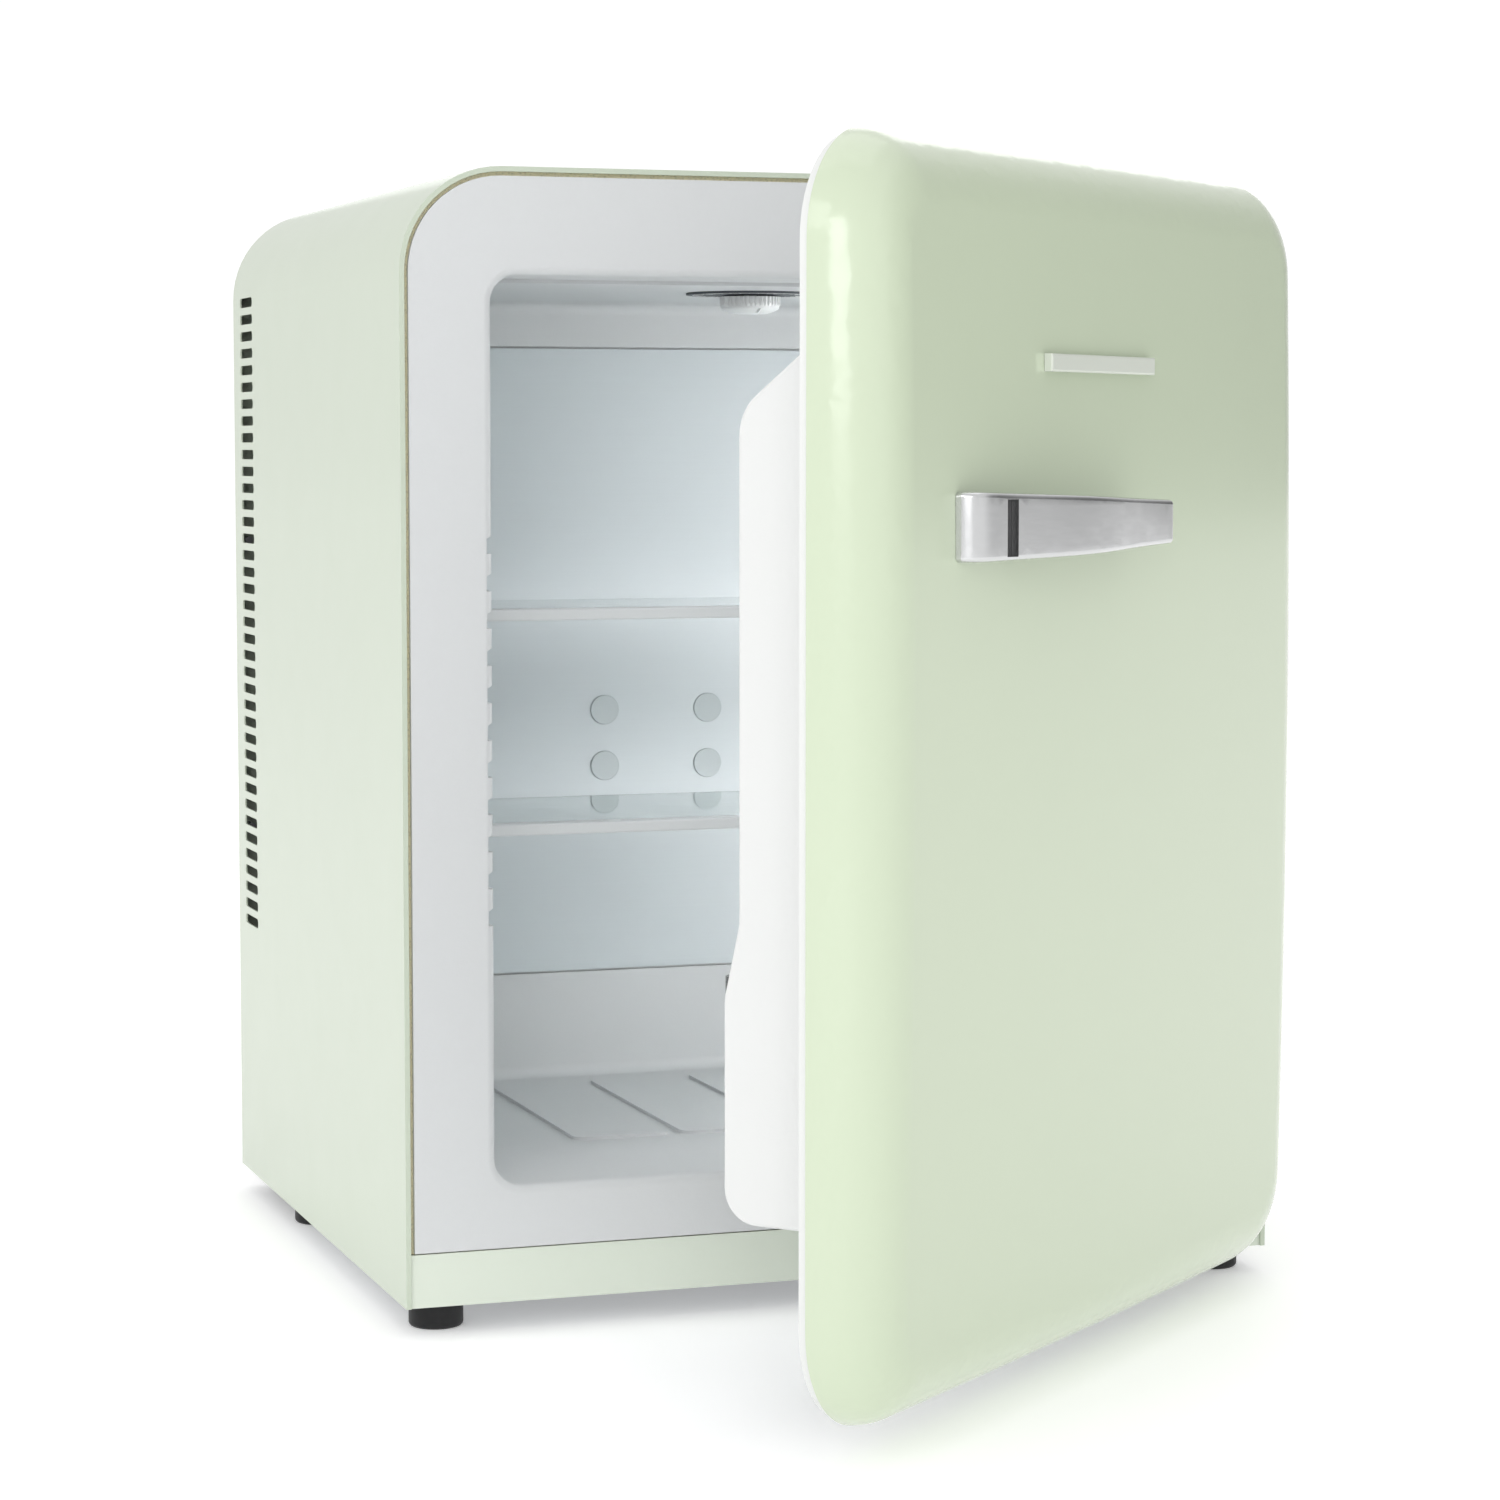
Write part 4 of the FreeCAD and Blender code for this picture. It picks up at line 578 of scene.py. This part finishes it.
class Growth(Bench):
    # a Geometry Nodes tree with named sizes
    def __init__(self, name, sizes):
        self.sizes = sizes
        tree = bpy.data.node_groups.new(name, "GeometryNodeTree")
        self.keys = {}
        for label in sizes:
            socket = tree.interface.new_socket(name=label, in_out="INPUT", socket_type="NodeSocketFloat")
            self.keys[label] = socket.identifier
        tree.interface.new_socket(name="Geometry", in_out="OUTPUT", socket_type="NodeSocketGeometry")
        super().__init__(tree)
        self.entry = tree.nodes.new("NodeGroupInput")

    def size(self, label):
        return Signal(self, self.entry.outputs[label])

    def vector(self, x=0.0, y=0.0, z=0.0):
        return self.make("ShaderNodeCombineXYZ", None, {"X": x, "Y": y, "Z": z})

    def grow(self, name, shape, material, place):
        # the tree's result as a plain mesh piece, moved to its place
        loose = self.make("GeometryNodeRealizeInstances", None, {0: shape})
        painted = self.make("GeometryNodeSetMaterial", None, {"Geometry": loose, "Material": material})
        ending = self.tree.nodes.new("NodeGroupOutput")
        self.tree.links.new(painted.socket, ending.inputs[0])
        holder = bpy.data.objects.new(name + "Holder", bpy.data.meshes.new(name + "Start"))
        bpy.context.scene.collection.objects.link(holder)
        modifier = holder.modifiers.new("growth", "NODES")
        modifier.node_group = self.tree
        for label, value in self.sizes.items():
            modifier[self.keys[label]] = value
        ready = holder.evaluated_get(bpy.context.evaluated_depsgraph_get())
        mesh = bpy.data.meshes.new_from_object(ready)
        bpy.data.objects.remove(holder)
        mesh.transform(place)
        piece = bpy.data.objects.new(name, mesh)
        bpy.context.scene.collection.objects.link(piece)
        return piece


def faceOutward(mesh, reach=None):
    turn = bmesh.new()
    turn.from_mesh(mesh)
    if reach:
        bmesh.ops.remove_doubles(turn, verts=turn.verts, dist=reach)
    bmesh.ops.recalc_face_normals(turn, faces=turn.faces)
    turn.to_mesh(mesh)
    turn.free()


hinge = next(joint for joint in frame["joints"] if joint["name"] == "door_hinge")


def doorPlace():
    # from the door's own plane, shut, to where the door rests
    swing = math.radians(-hinge["range_deg"][0])
    pivot = Vector(hinge["pos_m"])
    return Matrix.Translation(pivot) @ Matrix.Rotation(swing, 4, "Z") @ Matrix.Translation(-pivot)


linerLow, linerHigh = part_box("inner_liner")
sealLook = {"sideInset": 0.0265, "lowInset": 0.0143, "highInset": 0.0279, "cornerRadius": 0.0155,
            "depth": 0.0062, "faceGap": 0.0003, "footWidth": 0.0086, "footDepth": 0.0014,
            "bellowsWidth": 0.0058, "lipWidth": 0.0084, "lipDepth": 0.0022, "bellowsOverlap": 0.0002,
            "edgeShare": 0.35, "edgeSteps": 3, "cornerSteps": 10}


def makeSeal(look, material):
    # a foot, a narrow bellows and a rounded magnet strip, each swept around the same rounded path
    half = linerHigh.x - look["sideInset"]
    low = linerLow.z + look["lowInset"]
    high = linerHigh.z - look["highInset"]
    growth = Growth("sealPath", {"Width": 2 * half, "Height": high - low, "Corner radius": look["cornerRadius"],
                                 "Foot width": look["footWidth"], "Foot depth": look["footDepth"],
                                 "Bellows width": look["bellowsWidth"], "Lip width": look["lipWidth"],
                                 "Lip depth": look["lipDepth"], "Depth": look["depth"]})
    corners = growth.make("GeometryNodeCurvePrimitiveQuadrilateral", None,
                          {"Width": growth.size("Width"), "Height": growth.size("Height")})
    path = growth.make("GeometryNodeFilletCurve", {"mode": "POLY"},
                       {"Curve": corners, "Radius": growth.size("Corner radius"), "Count": look["cornerSteps"]})
    footDepth = growth.size("Foot depth")
    lipDepth = growth.size("Lip depth")
    bellowsDepth = growth.size("Depth") - footDepth - lipDepth
    strips = []
    for width, deep, level in (
        (growth.size("Foot width"), footDepth, footDepth * 0.5),
        (growth.size("Bellows width"), bellowsDepth + look["bellowsOverlap"], footDepth + bellowsDepth * 0.5),
        (growth.size("Lip width"), lipDepth, growth.size("Depth") - lipDepth * 0.5),
    ):
        outline = growth.make("GeometryNodeCurvePrimitiveQuadrilateral", None, {"Width": width, "Height": deep})
        outline = growth.make("GeometryNodeFilletCurve", {"mode": "POLY"},
                              {"Curve": outline, "Radius": deep * look["edgeShare"],
                               "Count": look["edgeSteps"]})
        raised = growth.make("GeometryNodeTransform", None,
                             {"Geometry": path, "Translation": growth.vector(z=level)})
        strips.append(growth.make("GeometryNodeCurveToMesh", None, {"Curve": raised, "Profile Curve": outline}))
    shape = growth.make("GeometryNodeJoinGeometry", None, {0: strips})
    backFace = linerLow.y - look["faceGap"] - look["depth"]
    upright = Matrix(((1, 0, 0, 0), (0, 0, 1, backFace), (0, 1, 0, (low + high) / 2), (0, 0, 0, 1)))
    seal = growth.grow("doorSeal", shape, material, doorPlace() @ upright)
    faceOutward(seal.data, smoothing["grownWeld"])
    shadeSoft(seal.data)
    settle(seal, "door", slotOf["door_gasket"], "door_gasket")


makeSeal(sealLook, sealRubber)

dialLow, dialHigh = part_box("thermostat_scale_plate")
scaleLook = {"marks": 36, "longEvery": 4, "markLength": 0.0022, "longMark": 0.0046, "markWidth": 0.00045,
             "markDepth": 0.00012, "ringRadius": 0.0268, "ringWidth": 0.0004, "ringSteps": 96}


def makeScale(look, material):
    # tick marks around the dial plate, some of them longer, inside a thin printed ring
    growth = Growth("dialMarks", {"Mark length": look["markLength"], "Long mark": look["longMark"],
                                  "Mark width": look["markWidth"], "Mark depth": look["markDepth"],
                                  "Ring radius": look["ringRadius"], "Ring width": look["ringWidth"]})
    ring = growth.make("GeometryNodeCurvePrimitiveCircle", None,
                       {"Resolution": look["ringSteps"], "Radius": growth.size("Ring radius")})
    spots = growth.make("GeometryNodeCurveToPoints", {"mode": "COUNT"}, {"Curve": ring, "Count": look["marks"]})
    index = growth.make("GeometryNodeInputIndex")
    step = index.maths("MODULO", index, look["longEvery"])
    longShare = 1.0 - step.over(0.5)
    ratio = growth.size("Long mark") / growth.size("Mark length")
    stretch = 1.0 + (ratio - 1.0) * longShare
    slim = growth.vector(growth.size("Mark length"), growth.size("Mark width"), growth.size("Mark depth"))
    bar = growth.make("GeometryNodeMeshCube", None, {"Size": slim})
    shifted = growth.make("GeometryNodeTransform", None,
                          {"Geometry": bar, "Translation": growth.vector(x=growth.size("Mark length") * -0.5)})
    turn = index * (2 * math.pi / look["marks"])
    marks = growth.make("GeometryNodeInstanceOnPoints", None,
                        {"Points": spots, "Instance": shifted, "Rotation": growth.vector(z=turn),
                         "Scale": growth.vector(x=stretch, y=1.0, z=1.0)})
    band = growth.make("GeometryNodeCurvePrimitiveQuadrilateral", None,
                       {"Width": growth.size("Ring width"), "Height": growth.size("Mark depth")})
    rim = growth.make("GeometryNodeCurveToMesh", None, {"Curve": ring, "Profile Curve": band})
    shape = growth.make("GeometryNodeJoinGeometry", None, {0: [marks, rim]})
    middle = (dialLow + dialHigh) / 2
    place = Matrix.Translation((middle.x, middle.y, dialLow.z - 0.5 * look["markDepth"]))
    scale = growth.grow("dialScale", shape, material, place)
    faceOutward(scale.data)
    settle(scale, "cabinet", slotOf["thermostat_scale_plate"])


inkLook = {"tone": tone(236, 238, 238), "drift": 0.95, "roughness": 0.45, "grain": 1800.0, "grainStrength": 0.1}
makeScale(scaleLook, mouldedPlastic("scaleInk", inkLook))
print("seal and dial scale grown")
